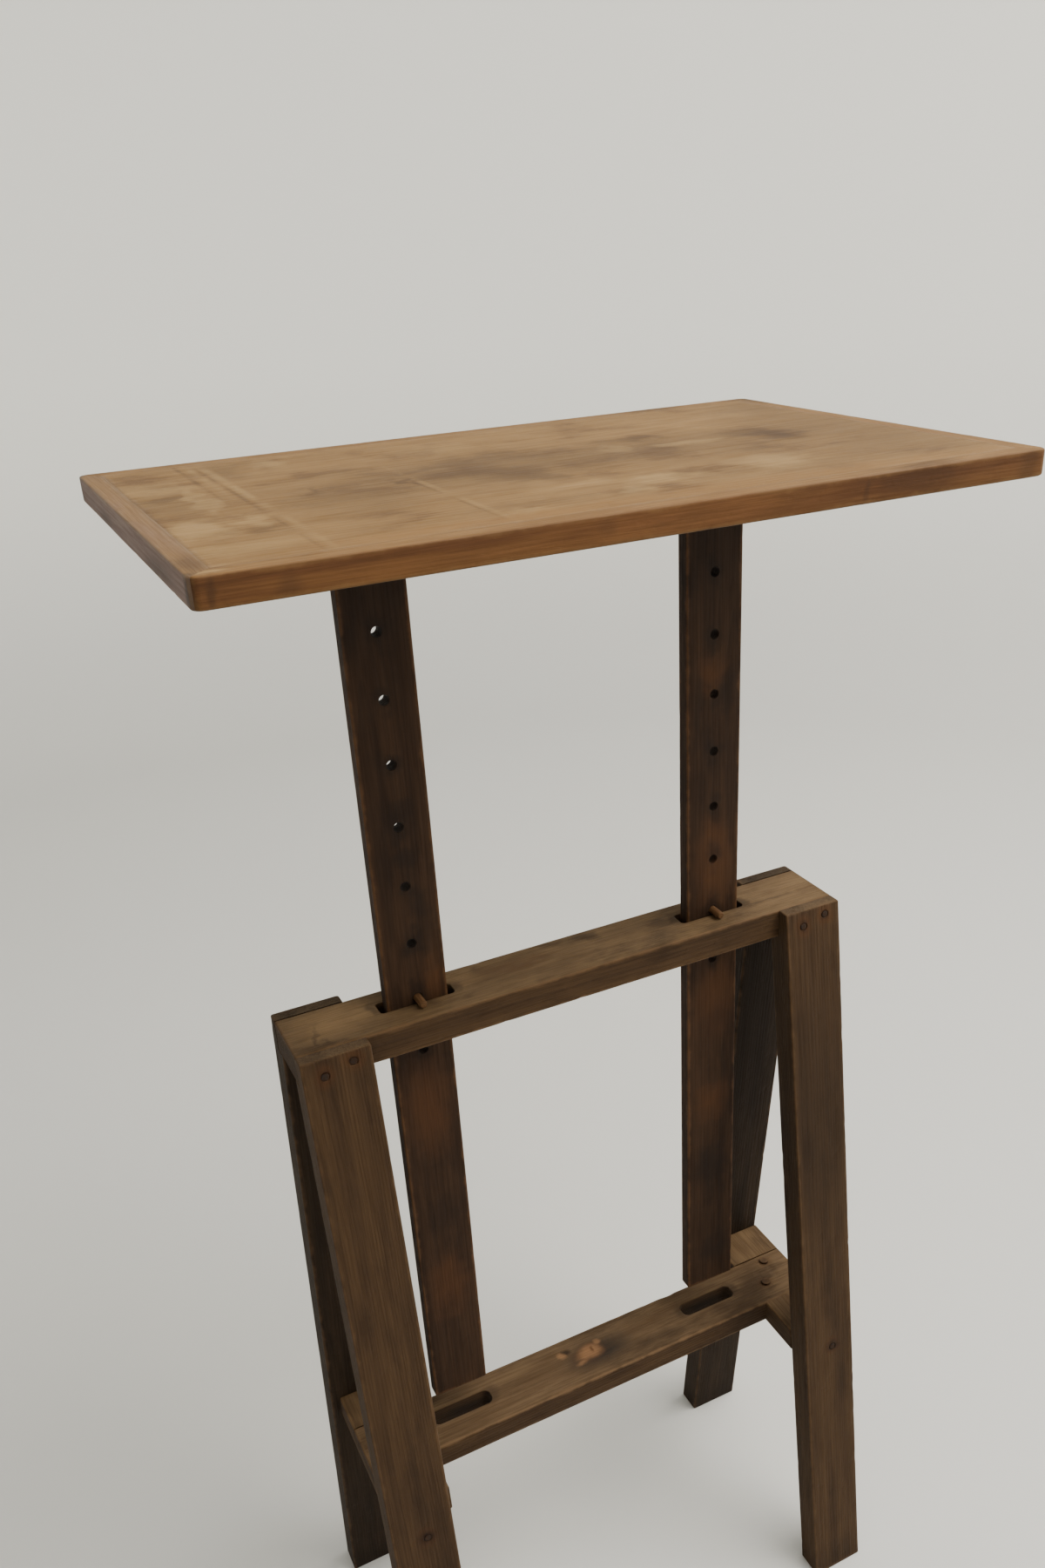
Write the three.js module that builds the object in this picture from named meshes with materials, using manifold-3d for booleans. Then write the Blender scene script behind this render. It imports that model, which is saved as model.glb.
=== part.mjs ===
// A wooden work stand for an artist: a nailed trestle with a table top that rises and falls.
// Two flat posts carry the top. They slide through mortises in the trestle's beam, and a peg
// through each post rests on the beam and sets the height.
//
// Millimetres, +Z up. +X runs along the table top, +Y from its front to its back.
// The origin is on the floor, below the middle of the table top.

import * as THREE from 'three';
import { ConvexGeometry } from 'three/addons/geometries/ConvexGeometry.js';
import { mergeVertices } from 'three/addons/utils/BufferGeometryUtils.js';
import Module from 'manifold-3d';

// ---------------------------------------------------------------- driving dimensions

const GAP = 0.3; // air between two pieces that touch
const ARRIS = 1.2; // chamfer along every sawn edge

const TOP_LENGTH = 700;
const TOP_DEPTH = 444;
const TOP_THICKNESS = 22;
const TOP_HEIGHT = 1406; // floor to work surface, with the pegs in the second lowest holes
const LIPPING_WIDTH = 18; // solid strips mitred round the panel
const LIPPING_CORNER = 6; // radius of the table top's corners

const POST_SPACING = 334; // between the posts' centre lines
const POST_WIDTH = 62;
const POST_THICKNESS = 16;
const POST_FOOT_HEIGHT = 406; // floor to the posts' lower ends

const PEG_DIAMETER = 9;
const PEG_LENGTH = 40;
const PEG_FRONT = 24; // from the posts' middle plane to the peg's front end
const HOLE_DIAMETER = 9.6;
const HOLE_PITCH = 60;
const HOLES_ABOVE_PEG = 6;
const HOLES_BELOW_PEG = 1;

const TRESTLE_Y = -4; // the posts pass a little behind the trestle's middle
const BEAM_LENGTH = 596;
const BEAM_WIDTH = 70;
const BEAM_THICKNESS = 32;
const BEAM_HEIGHT = 924; // floor to the beam's top face
const MORTISE_LENGTH = 76;
const MORTISE_WIDTH = 19;
const MORTISE_CORNER = 4;

const LEG_WIDTH = 68;
const LEG_THICKNESS = 32;
const LEG_SPLAY = THREE.MathUtils.degToRad(7.2);
const LEG_TONGUE = 14; // what the beam's housing leaves of the leg's thickness at its top

const RAIL_HEIGHT = 364; // floor to the rails' top faces
const RAIL_THICKNESS = 30;
const LOWER_RAIL_WIDTH = 72;
const CROSS_RAIL_INSET = { left: 10, right: 0 }; // the left one sits a little inside its legs
const SLOT_LENGTH = 72;
const SLOT_WIDTH = 19;
const SLOT_CORNER = 7;

const BEARER_LENGTH = 440;
const BEARER_DEPTH = 40;
const BEARER_THICKNESS = 22;

const NAIL = { shank: 4, head: 7.6, crown: 1.2, bore: 4.7 };
const BEAM_NAIL_LENGTH = 50;
const RAIL_NAIL_LENGTH = 74;
const LAP_NAIL_LENGTH = 27;
const PIN_SIDES = 12; // sides of a round nail, screw or its hole
const SCREW = { shank: 4, head: 8, crown: 2.2, bore: 4.7 };
const POST_SCREW_LENGTH = 52;
const PANEL_SCREW_LENGTH = 56;

// ---------------------------------------------------------------- derived places

const TOP_UNDERSIDE = TOP_HEIGHT - TOP_THICKNESS;
const PEG_Z = BEAM_HEIGHT + GAP + PEG_DIAMETER / 2;
const BEAM_BOTTOM = BEAM_HEIGHT - BEAM_THICKNESS;
const LAP = RAIL_THICKNESS / 2;
const SIDES = { left: -1, right: 1 };
const ENDS = { front: -1, rear: 1 };

// Distance of a leg's outer and inner faces from the trestle's middle plane, at height z.
const legOuter = (z) => BEAM_WIDTH / 2 + LEG_TONGUE + (BEAM_HEIGHT - z) * Math.tan(LEG_SPLAY);
const legInner = (z) => legOuter(z) - LEG_THICKNESS / Math.cos(LEG_SPLAY);

// ---------------------------------------------------------------- materials

const wood = (name, color, roughness) =>
  new THREE.MeshStandardMaterial({ name, color, roughness, metalness: 0 });
const metal = (name, color) =>
  new THREE.MeshStandardMaterial({ name, color, roughness: 0.7, metalness: 0.8 });

const PANEL_WOOD = wood('panel_wood', '#a88a66', 0.6);
const LIPPING_WOOD = wood('lipping_wood', '#8a5f3a', 0.55);
const POST_WOOD = wood('post_wood', '#4d3b2b', 0.65);
const TRESTLE_WOOD = wood('trestle_wood', '#6b5440', 0.75);
const PEG_WOOD = wood('peg_wood', '#8c7355', 0.6);
const BEARER_WOOD = wood('bearer_wood', '#6f5238', 0.7);
const NAIL_IRON = metal('nail_iron', '#5a3b28');
const SCREW_STEEL = metal('screw_steel', '#77736c');

// ---------------------------------------------------------------- solids

const wasm = await Module();
wasm.setup();

// A closed three.js geometry as a solid that can be joined and cut.
function toSolid(geometry) {
  const bare = geometry.clone();
  bare.deleteAttribute('normal');
  bare.deleteAttribute('uv');
  const merged = mergeVertices(bare, 1e-4);
  return new wasm.Manifold(
    new wasm.Mesh({
      numProp: 3,
      vertProperties: new Float32Array(merged.attributes.position.array),
      triVerts: new Uint32Array(merged.index.array),
    }),
  );
}

function toGeometry(solid) {
  const mesh = solid.getMesh();
  const geometry = new THREE.BufferGeometry();
  geometry.setAttribute('position', new THREE.BufferAttribute(mesh.vertProperties, 3));
  geometry.setIndex(new THREE.BufferAttribute(mesh.triVerts, 1));
  return geometry;
}

function cut(geometry, tools) {
  const solid = tools.reduce((body, tool) => body.subtract(toSolid(tool)), toSolid(geometry));
  return toGeometry(solid);
}

// A board centred on the origin, chamfered along its twelve edges.
function board(length, width, height) {
  const corners = [];
  for (const sx of [-1, 1]) {
    for (const sy of [-1, 1]) {
      for (const sz of [-1, 1]) {
        const [x, y, z] = [length / 2, width / 2, height / 2];
        corners.push(new THREE.Vector3(sx * x, sy * (y - ARRIS), sz * (z - ARRIS)));
        corners.push(new THREE.Vector3(sx * (x - ARRIS), sy * y, sz * (z - ARRIS)));
        corners.push(new THREE.Vector3(sx * (x - ARRIS), sy * (y - ARRIS), sz * z));
      }
    }
  }
  return new ConvexGeometry(corners);
}

// A closed outline made solid over a depth, its two faces chamfered inside the outline.
function sawn(outline, depth, chamfer = ARRIS) {
  return new THREE.ExtrudeGeometry(outline, {
    depth: depth - 2 * chamfer,
    bevelEnabled: chamfer > 0,
    bevelThickness: chamfer,
    bevelSize: chamfer,
    bevelOffset: -chamfer,
    bevelSegments: 1,
    curveSegments: 8,
  }).translate(0, 0, chamfer);
}

const polygon = (points) => new THREE.Shape(points.map(([x, y]) => new THREE.Vector2(x, y)));

// Points along an arc, its ends given in quarter turns from +X.
function arc(x, y, radius, from, to) {
  const steps = Math.round(6 * (to - from));
  return Array.from({ length: steps + 1 }, (_, i) => {
    const angle = (from + (to - from) * i / steps) * Math.PI / 2;
    return [x + radius * Math.cos(angle), y + radius * Math.sin(angle)];
  });
}

// A rectangle with round corners, centred on the origin.
function roundedRectangle(length, width, radius) {
  const [x, y] = [length / 2 - radius, width / 2 - radius];
  return polygon([
    ...arc(x, y, radius, 0, 1),
    ...arc(-x, y, radius, 1, 2),
    ...arc(-x, -y, radius, 2, 3),
    ...arc(x, -y, radius, 3, 4),
  ]);
}

// Turns a solid drawn on the XY plane so that its outline lies on YZ and its depth along X.
const OUTLINE_ON_YZ = new THREE.Matrix4().makeBasis(
  new THREE.Vector3(0, 1, 0),
  new THREE.Vector3(0, 0, 1),
  new THREE.Vector3(1, 0, 0),
);
// The same for an outline on XZ, its depth along -Y.
const OUTLINE_ON_XZ = new THREE.Matrix4().makeBasis(
  new THREE.Vector3(1, 0, 0),
  new THREE.Vector3(0, 0, 1),
  new THREE.Vector3(0, -1, 0),
);

// A pin with its head's seat at the origin, its head along +Z and its point along -Z.
function pin({ shank, head, crown }, length) {
  const radius = shank / 2;
  const profile = [
    [0, -length],
    [radius, -length + 2 * shank],
    [radius, GAP],
    [head / 2, GAP],
    [head / 2, GAP + crown * 0.4],
    [head * 0.32, GAP + crown * 0.9],
    [0, GAP + crown],
  ];
  const turned = new THREE.LatheGeometry(profile.map(([x, y]) => new THREE.Vector2(x, y)), PIN_SIDES);
  return turned.rotateX(Math.PI / 2);
}

// The hole that a pin needs, with room to spare past its point and above the seat.
function pinBore({ bore }, length) {
  const hole = new THREE.CylinderGeometry(bore / 2, bore / 2, length + 12, PIN_SIDES);
  return hole.rotateX(Math.PI / 2).translate(0, 0, -length / 2 + 4);
}

// ---------------------------------------------------------------- fastenings

// Each fastening is a place (a matrix whose +Z leaves the wood), a kind and a length.
function place(x, y, z, outwards) {
  const turn = new THREE.Quaternion().setFromUnitVectors(new THREE.Vector3(0, 0, 1), outwards);
  return new THREE.Matrix4().compose(new THREE.Vector3(x, y, z), turn, new THREE.Vector3(1, 1, 1));
}

// A nail driven square into a leg's outer face.
function legNail(name, end, x, z, length) {
  const outwards = new THREE.Vector3(0, end * Math.cos(LEG_SPLAY), Math.sin(LEG_SPLAY));
  return { name, kind: NAIL, length, at: place(x, TRESTLE_Y + end * legOuter(z), z, outwards) };
}

const legX = (side) => side * (BEAM_LENGTH - LEG_WIDTH) / 2;
const postX = (side) => side * POST_SPACING / 2;
const crossRailX = (sideName) => legX(SIDES[sideName]) - SIDES[sideName] * CROSS_RAIL_INSET[sideName];

// Two nails in each leg's head, staggered so that they don't split the beam's edge.
function beamNails(endName, sideName) {
  const [end, side] = [ENDS[endName], SIDES[sideName]];
  const stagger = endName === 'front' ? 1 : -1;
  return [[15, 11], [-13, 18]].map(([dx, drop], i) =>
    legNail(`nail_beam_${endName}_${sideName}_${i + 1}`, end, legX(side) + stagger * dx,
      BEAM_HEIGHT - drop, BEAM_NAIL_LENGTH));
}

// One long nail through each leg into the middle of its cross rail's end.
const railNail = (endName, sideName) =>
  legNail(`nail_rail_${endName}_${sideName}`, ENDS[endName], legX(SIDES[sideName]) + 4,
    RAIL_HEIGHT - RAIL_THICKNESS / 2, RAIL_NAIL_LENGTH);

// Two nails down through each halving of the lower rail.
function lapNails(sideName) {
  const up = new THREE.Vector3(0, 0, 1);
  return [[4, 20], [-15, -12]].map(([dx, y], i) => ({
    name: `nail_lap_${sideName}_${i + 1}`,
    kind: NAIL,
    length: LAP_NAIL_LENGTH,
    at: place(crossRailX(sideName) + dx, y, RAIL_HEIGHT, up),
  }));
}

const BEARER_Y = POST_THICKNESS / 2 + GAP + BEARER_THICKNESS / 2; // middle of the rear bearer
const BEARER_Z = TOP_UNDERSIDE - GAP - BEARER_DEPTH / 2;

// Two screws through the front bearer and each post into the rear bearer.
function postScrews(sideName) {
  const outwards = new THREE.Vector3(0, -1, 0);
  return [[-16, 8], [16, -8]].map(([dx, dz], i) => ({
    name: `screw_post_${sideName}_${i + 1}`,
    kind: SCREW,
    length: POST_SCREW_LENGTH,
    at: place(postX(SIDES[sideName]) + dx, -BEARER_Y - BEARER_THICKNESS / 2, BEARER_Z + dz, outwards),
  }));
}

// Two screws up through each bearer into the panel.
function panelScrews(endName) {
  const down = new THREE.Vector3(0, 0, -1);
  return Object.keys(SIDES).map((sideName) => ({
    name: `screw_panel_${endName}_${sideName}`,
    kind: SCREW,
    length: PANEL_SCREW_LENGTH,
    at: place(SIDES[sideName] * 90, ENDS[endName] * BEARER_Y, BEARER_Z - BEARER_DEPTH / 2, down),
  }));
}

const bores = (fastenings) =>
  fastenings.map(({ kind, length, at }) => pinBore(kind, length).applyMatrix4(at));

// ---------------------------------------------------------------- trestle

// The beam lies flat. A mortise at each post is longer than the post, so that it runs freely.
function beamGeometry(nails) {
  const plank = board(BEAM_LENGTH, BEAM_WIDTH, BEAM_THICKNESS);
  plank.translate(0, TRESTLE_Y, BEAM_HEIGHT - BEAM_THICKNESS / 2);
  const mortise = roundedRectangle(MORTISE_LENGTH, MORTISE_WIDTH, MORTISE_CORNER);
  const mortises = Object.values(SIDES).map((side) =>
    sawn(mortise, BEAM_THICKNESS + 10, 0).translate(postX(side), 0, BEAM_BOTTOM - 5));
  return cut(plank, [...mortises, ...bores(nails)]);
}

// A leg's outline from the side: its head is housed for the beam's edge and stands under it,
// its foot is cut level.
function legGeometry(endName, sideName, nails) {
  const end = ENDS[endName];
  const shoulder = BEAM_BOTTOM - GAP;
  const outline = polygon([
    [legOuter(BEAM_HEIGHT), BEAM_HEIGHT],
    [BEAM_WIDTH / 2 + GAP, BEAM_HEIGHT],
    [BEAM_WIDTH / 2 + GAP, shoulder],
    [legInner(shoulder), shoulder],
    [legInner(0), 0],
    [legOuter(0), 0],
  ].map(([u, z]) => [TRESTLE_Y + end * u, z]));
  const leg = sawn(outline, LEG_WIDTH).applyMatrix4(OUTLINE_ON_YZ);
  return cut(leg.translate(legX(SIDES[sideName]) - LEG_WIDTH / 2, 0, 0), bores(nails));
}

// A cross rail lies flat between a pair of legs, its ends cut to their splay, and is halved
// for the lower rail.
function crossRailGeometry(sideName, nails) {
  const bottom = RAIL_HEIGHT - RAIL_THICKNESS;
  const [top, low] = [legInner(RAIL_HEIGHT) - GAP, legInner(bottom) - GAP];
  const halving = LOWER_RAIL_WIDTH / 2 + GAP;
  const lap = RAIL_HEIGHT - LAP - GAP / 2;
  const outline = polygon([
    [-low, bottom], [low, bottom], [top, RAIL_HEIGHT], [halving, RAIL_HEIGHT], [halving, lap],
    [-halving, lap], [-halving, RAIL_HEIGHT], [-top, RAIL_HEIGHT],
  ].map(([u, z]) => [TRESTLE_Y + u, z]));
  const rail = sawn(outline, LEG_WIDTH).applyMatrix4(OUTLINE_ON_YZ);
  return cut(rail.translate(crossRailX(sideName) - LEG_WIDTH / 2, 0, 0), bores(nails));
}

// The lower rail joins the cross rails. Its ends are halved over them, and it has a slot below
// each post, where the post goes down when the top is lowered.
function lowerRailGeometry(nails) {
  const bottom = RAIL_HEIGHT - RAIL_THICKNESS;
  const lap = RAIL_HEIGHT - LAP + GAP / 2;
  const [left, right] = [crossRailX('left'), crossRailX('right')];
  const [tip, shoulder] = [LEG_WIDTH / 2, LEG_WIDTH / 2 + GAP];
  const outline = polygon([
    [left - tip, RAIL_HEIGHT], [left - tip, lap], [left + shoulder, lap],
    [left + shoulder, bottom], [right - shoulder, bottom], [right - shoulder, lap],
    [right + tip, lap], [right + tip, RAIL_HEIGHT],
  ]);
  const rail = sawn(outline, LOWER_RAIL_WIDTH).applyMatrix4(OUTLINE_ON_XZ);
  rail.translate(0, TRESTLE_Y + LOWER_RAIL_WIDTH / 2, 0);
  const slot = roundedRectangle(SLOT_LENGTH, SLOT_WIDTH, SLOT_CORNER);
  const slots = Object.values(SIDES).map((side) =>
    sawn(slot, RAIL_THICKNESS + 10, 0).translate(postX(side), 0, bottom - 5));
  return cut(rail, [...slots, ...bores(nails)]);
}

// ---------------------------------------------------------------- table top

function panelGeometry(screws) {
  const inside = 2 * (LIPPING_WIDTH + GAP);
  const panel = board(TOP_LENGTH - inside, TOP_DEPTH - inside, TOP_THICKNESS);
  panel.translate(0, 0, TOP_HEIGHT - TOP_THICKNESS / 2);
  return cut(panel, bores(screws));
}

// One of the four lippings, seen from above as the front one: mitred at both ends, each with
// its half of the round corner.
function lippingGeometry(length, depth) {
  const [x, y] = [length / 2, -depth / 2];
  const radius = LIPPING_CORNER;
  const mitre = GAP / 2 * Math.SQRT2;
  const outline = polygon([
    [-x + LIPPING_WIDTH + mitre, y + LIPPING_WIDTH],
    ...arc(-x + radius + mitre, y + radius, radius, 2.5, 3),
    ...arc(x - radius - mitre, y + radius, radius, 3, 3.5),
    [x - LIPPING_WIDTH - mitre, y + LIPPING_WIDTH],
  ]);
  return cut(sawn(outline, TOP_THICKNESS, ARRIS / 2).translate(0, 0, TOP_UNDERSIDE), []);
}

// A post, bored through its wide face with a column of peg holes.
function postGeometry(sideName, screws) {
  const length = TOP_UNDERSIDE - GAP - POST_FOOT_HEIGHT;
  const post = board(POST_WIDTH, POST_THICKNESS, length);
  post.translate(postX(SIDES[sideName]), 0, POST_FOOT_HEIGHT + length / 2);
  const holes = [];
  for (let k = -HOLES_BELOW_PEG; k <= HOLES_ABOVE_PEG; k += 1) {
    const hole = new THREE.CylinderGeometry(HOLE_DIAMETER / 2, HOLE_DIAMETER / 2, 40, 20);
    holes.push(hole.translate(postX(SIDES[sideName]), 0, PEG_Z + k * HOLE_PITCH));
  }
  return cut(post, [...holes, ...bores(screws)]);
}

// A hardwood peg lies across the beam's mortise and carries its post. Its ends are eased.
function pegGeometry() {
  const [radius, half] = [PEG_DIAMETER / 2, PEG_LENGTH / 2];
  const profile = [[0, -half], [radius - 1.2, -half], [radius, -half + 1.5],
    [radius, half - 1.5], [radius - 1.2, half], [0, half]];
  return new THREE.LatheGeometry(profile.map(([x, y]) => new THREE.Vector2(x, y)), 16);
}

function bearerGeometry(endName, screws) {
  const bearer = board(BEARER_LENGTH, BEARER_THICKNESS, BEARER_DEPTH);
  return cut(bearer.translate(0, ENDS[endName] * BEARER_Y, BEARER_Z), bores(screws));
}

// ---------------------------------------------------------------- assembly

const stand = new THREE.Group();

function add(name, geometry, material) {
  const mesh = new THREE.Mesh(geometry, material);
  mesh.name = name;
  stand.add(mesh);
  return mesh;
}

function addFastenings(fastenings, material) {
  for (const { name, kind, length, at } of fastenings) {
    const mesh = add(name, pin(kind, length), material);
    at.decompose(mesh.position, mesh.quaternion, mesh.scale);
  }
}

const allBeamNails = [];
for (const sideName of Object.keys(SIDES)) {
  const railNails = [];
  for (const endName of Object.keys(ENDS)) {
    const headNails = beamNails(endName, sideName);
    const footNail = railNail(endName, sideName);
    add(`leg_${endName}_${sideName}`, legGeometry(endName, sideName, [...headNails, footNail]),
      TRESTLE_WOOD);
    allBeamNails.push(...headNails);
    railNails.push(footNail);
  }
  const laps = lapNails(sideName);
  add(`cross_rail_${sideName}`, crossRailGeometry(sideName, [...railNails, ...laps]), TRESTLE_WOOD);
  addFastenings([...railNails, ...laps], NAIL_IRON);
}
add('beam', beamGeometry(allBeamNails), TRESTLE_WOOD);
addFastenings(allBeamNails, NAIL_IRON);
add('lower_rail', lowerRailGeometry([...lapNails('left'), ...lapNails('right')]), TRESTLE_WOOD);

const frontScrews = Object.keys(SIDES).flatMap(postScrews);
const underScrews = Object.keys(ENDS).flatMap(panelScrews);
for (const sideName of Object.keys(SIDES)) {
  add(`post_${sideName}`, postGeometry(sideName, postScrews(sideName)), POST_WOOD);
  const peg = add(`peg_${sideName}`, pegGeometry(), PEG_WOOD);
  peg.position.set(postX(SIDES[sideName]), PEG_LENGTH / 2 - PEG_FRONT, PEG_Z);
}
for (const endName of Object.keys(ENDS)) {
  add(`bearer_${endName}`, bearerGeometry(endName, [...frontScrews, ...underScrews]), BEARER_WOOD);
}
addFastenings([...frontScrews, ...underScrews], SCREW_STEEL);

add('top_panel', panelGeometry(underScrews), PANEL_WOOD);
const lippings = [
  ['lipping_front', TOP_LENGTH, TOP_DEPTH, 0],
  ['lipping_right', TOP_DEPTH, TOP_LENGTH, Math.PI / 2],
  ['lipping_back', TOP_LENGTH, TOP_DEPTH, Math.PI],
  ['lipping_left', TOP_DEPTH, TOP_LENGTH, -Math.PI / 2],
];
for (const [name, length, depth, turn] of lippings) {
  add(name, lippingGeometry(length, depth), LIPPING_WOOD).rotation.z = turn;
}

export default stand;
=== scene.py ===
# %% [markdown]
# # A work stand for an artist, in worn wood
#
# This stand is a small table top on two flat posts. The posts slide through a nailed trestle,
# and a wooden peg through each post rests on the trestle's beam. Moving the pegs to other
# holes raises or lowers the table.
#
# The sizes are settled before this script starts: a imported model gives every sub-part as a plain
# solid. Here each solid gets a worn, hand-made double with a procedural finish. We first load
# the imported model and note its box, which the finished stand is measured against at the end. We
# first load the imported model and note its box, because nothing that we make may reach outside
# it.

# %% Load the imported model
import math

import bmesh
import bpy
from mathutils import Euler, Matrix, Vector, noise


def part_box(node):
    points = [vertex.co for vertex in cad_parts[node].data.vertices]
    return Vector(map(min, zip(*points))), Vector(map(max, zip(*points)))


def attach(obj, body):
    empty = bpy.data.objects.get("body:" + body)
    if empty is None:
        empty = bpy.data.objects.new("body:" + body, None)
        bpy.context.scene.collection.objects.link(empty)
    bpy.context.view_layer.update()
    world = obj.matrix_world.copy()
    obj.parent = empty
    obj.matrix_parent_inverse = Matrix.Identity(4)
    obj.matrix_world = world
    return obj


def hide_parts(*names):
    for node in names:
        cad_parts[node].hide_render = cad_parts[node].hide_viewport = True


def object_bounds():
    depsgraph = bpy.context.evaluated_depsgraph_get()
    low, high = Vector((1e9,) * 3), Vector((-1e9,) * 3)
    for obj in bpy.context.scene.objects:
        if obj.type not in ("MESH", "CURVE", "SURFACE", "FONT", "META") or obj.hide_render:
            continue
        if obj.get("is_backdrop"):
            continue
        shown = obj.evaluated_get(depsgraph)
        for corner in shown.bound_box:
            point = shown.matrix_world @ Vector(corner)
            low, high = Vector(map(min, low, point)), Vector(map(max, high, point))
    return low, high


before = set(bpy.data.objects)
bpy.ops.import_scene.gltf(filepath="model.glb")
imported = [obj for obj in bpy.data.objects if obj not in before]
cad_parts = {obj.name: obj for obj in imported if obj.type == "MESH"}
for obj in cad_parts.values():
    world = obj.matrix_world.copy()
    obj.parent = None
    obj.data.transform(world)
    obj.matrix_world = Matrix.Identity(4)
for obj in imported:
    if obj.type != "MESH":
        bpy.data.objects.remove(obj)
cad_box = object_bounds()
SIDES = {"left": -1, "right": 1}
ENDS = {"front": -1, "rear": 1}

# %% [markdown]
# ## The camera
#
# The stand is seen by a standing person, a little to the left of its front, looking down at it.
# A camera could be aimed with a constraint, but three turns say the same with nothing left to
# solve: a heading, a tilt and a slight lean. The lens is a moderate wide angle. Its small shift
# moves the picture's middle without tilting the camera, as a view camera's rising front does.

# %% Camera
HEADING, TILT, LEAN = math.radians(-25.876), math.radians(90 - 26.575), math.radians(-2.742)
camera_data = bpy.data.cameras.new("camera")
camera_data.lens = 29.63
camera_data.shift_x, camera_data.shift_y = -0.0306, 0.0502
camera = bpy.data.objects.new("camera", camera_data)
camera.location = (-0.4888, -1.0205, 1.5913)
camera.rotation_euler = (Euler((TILT, 0, HEADING)).to_matrix() @ Matrix.Rotation(LEAN, 3, "Z")).to_euler()
bpy.context.scene.collection.objects.link(camera)
bpy.context.scene.camera = camera
print("camera", round(camera.location.z, 2), "m above the floor")

# %% [markdown]
# ## Talking to shader nodes
#
# A shader tree is a graph, and code that builds one is easier to read when each node takes one
# line. These helpers add a node and either set an input or link it to another node's output.

# %% Node helpers
def add(tree, kind, inputs=None, **settings):
    """A new node with its settings; each input is set to a value or linked to an output."""
    made = tree.nodes.new(kind)
    for key, value in settings.items():
        setattr(made, key, value)
    for key, value in (inputs or {}).items():
        if isinstance(value, bpy.types.NodeSocket):
            tree.links.new(value, made.inputs[key])
        else:
            made.inputs[key].default_value = value
    return made


def maths(tree, operation, first, second=0.0, third=0.0):
    return add(tree, "ShaderNodeMath", {0: first, 1: second, 2: third}, operation=operation).outputs[0]


def vector(tree, operation, first, second=(0, 0, 0)):
    node = add(tree, "ShaderNodeVectorMath", {0: first, 1: second}, operation=operation)
    return node.outputs["Value" if operation == "LENGTH" else "Vector"]


def ease(tree, value, low, high, start=0.0, end=1.0):
    """Value carried from low..high to start..end along a smooth S."""
    inputs = {"Value": value, "From Min": low, "From Max": high, "To Min": start, "To Max": end}
    return add(tree, "ShaderNodeMapRange", inputs, interpolation_type="SMOOTHSTEP").outputs[0]


def mix(tree, factor, first, second, blend="MIX"):
    """Two colours blended by a factor."""
    node = add(tree, "ShaderNodeMix", data_type="RGBA", blend_type=blend)
    for index, value in ((0, factor), (6, first), (7, second)):
        if isinstance(value, bpy.types.NodeSocket):
            tree.links.new(value, node.inputs[index])
        else:
            node.inputs[index].default_value = value
    return node.outputs[2]


def cloud(tree, place, scale, detail=3.0, roughness=0.55):
    """A soft noise between 0 and 1."""
    inputs = {"Vector": place, "Scale": scale, "Detail": detail, "Roughness": roughness}
    return add(tree, "ShaderNodeTexNoise", inputs).outputs["Fac"]


def tint(red, green, blue):
    """A colour as a paint chart gives it, 0 to 255, made linear for the shader."""
    linear = [(c / 255 / 12.92) if c < 11 else ((c / 255 + 0.055) / 1.055) ** 2.4
              for c in (red, green, blue)]
    return (*linear, 1.0)


print("sawn oak is", [round(c, 3) for c in tint(125, 100, 72)[:3]])

# %% [markdown]
# ## Node groups: the figure of wood
#
# Wood is a solid texture. A tree grows in rings round its pith, and a board is a box cut out of
# that solid, so its faces show straight lines or arches and its ends show arcs. An image laid on
# each face can't join at the corners. The group works the rings out from the distance to the
# pith instead, so that they run round every edge. It takes a place in the board, with X
# along the grain, and it puts out masks only. The colours stay in each finish.

# %% Group: growth rings and fibres
def new_group(name, inputs, outputs):
    """An empty shader group with named sockets. Gives the tree and its input and output nodes."""
    tree = bpy.data.node_groups.new(name, "ShaderNodeTree")
    for label, kind, default in inputs:
        socket = tree.interface.new_socket(label, in_out="INPUT", socket_type="NodeSocket" + kind)
        socket.default_value = default
    for label in outputs:
        tree.interface.new_socket(label, in_out="OUTPUT", socket_type="NodeSocketFloat")
    return tree, tree.nodes.new("NodeGroupInput"), tree.nodes.new("NodeGroupOutput")


def build_growth_group():
    tree, given, out = new_group(
        "growth",
        [("Place", "Vector", (0, 0, 0)), ("Pith", "Vector", (0, 0.02, -0.06)),
         ("Ring Width", "Float", 0.003), ("Waviness", "Float", 0.012)],
        ["Rings", "Fibres", "Streaks"])
    place = vector(tree, "SUBTRACT", given.outputs["Place"], given.outputs["Pith"])
    across = vector(tree, "MULTIPLY", place, (0, 1, 1))
    swell = cloud(tree, vector(tree, "MULTIPLY", place, (2.2, 9, 9)), 1.0)
    swell = maths(tree, "MULTIPLY", maths(tree, "SUBTRACT", swell, 0.5), given.outputs["Waviness"])
    radius = maths(tree, "ADD", vector(tree, "LENGTH", across), swell)
    years = maths(tree, "DIVIDE", radius, given.outputs["Ring Width"])
    season = maths(tree, "FRACT", years)
    late = maths(tree, "MULTIPLY", ease(tree, season, 0.35, 0.9), ease(tree, season, 1.0, 0.93))
    year = maths(tree, "FLOOR", years)
    weather = add(tree, "ShaderNodeTexWhiteNoise", {"W": year}, noise_dimensions="1D").outputs[0]
    rings = maths(tree, "MULTIPLY", late, maths(tree, "MULTIPLY_ADD", weather, 0.5, 0.5))
    fine = cloud(tree, vector(tree, "MULTIPLY", place, (16, 620, 620)), 1.0, 4, 0.65)
    broad = cloud(tree, vector(tree, "MULTIPLY", place, (3.5, 70, 70)), 1.0, 5, 0.6)
    tree.links.new(rings, out.inputs["Rings"])
    tree.links.new(ease(tree, fine, 0.36, 0.66), out.inputs["Fibres"])
    tree.links.new(ease(tree, broad, 0.33, 0.67), out.inputs["Streaks"])
    return tree


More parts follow.
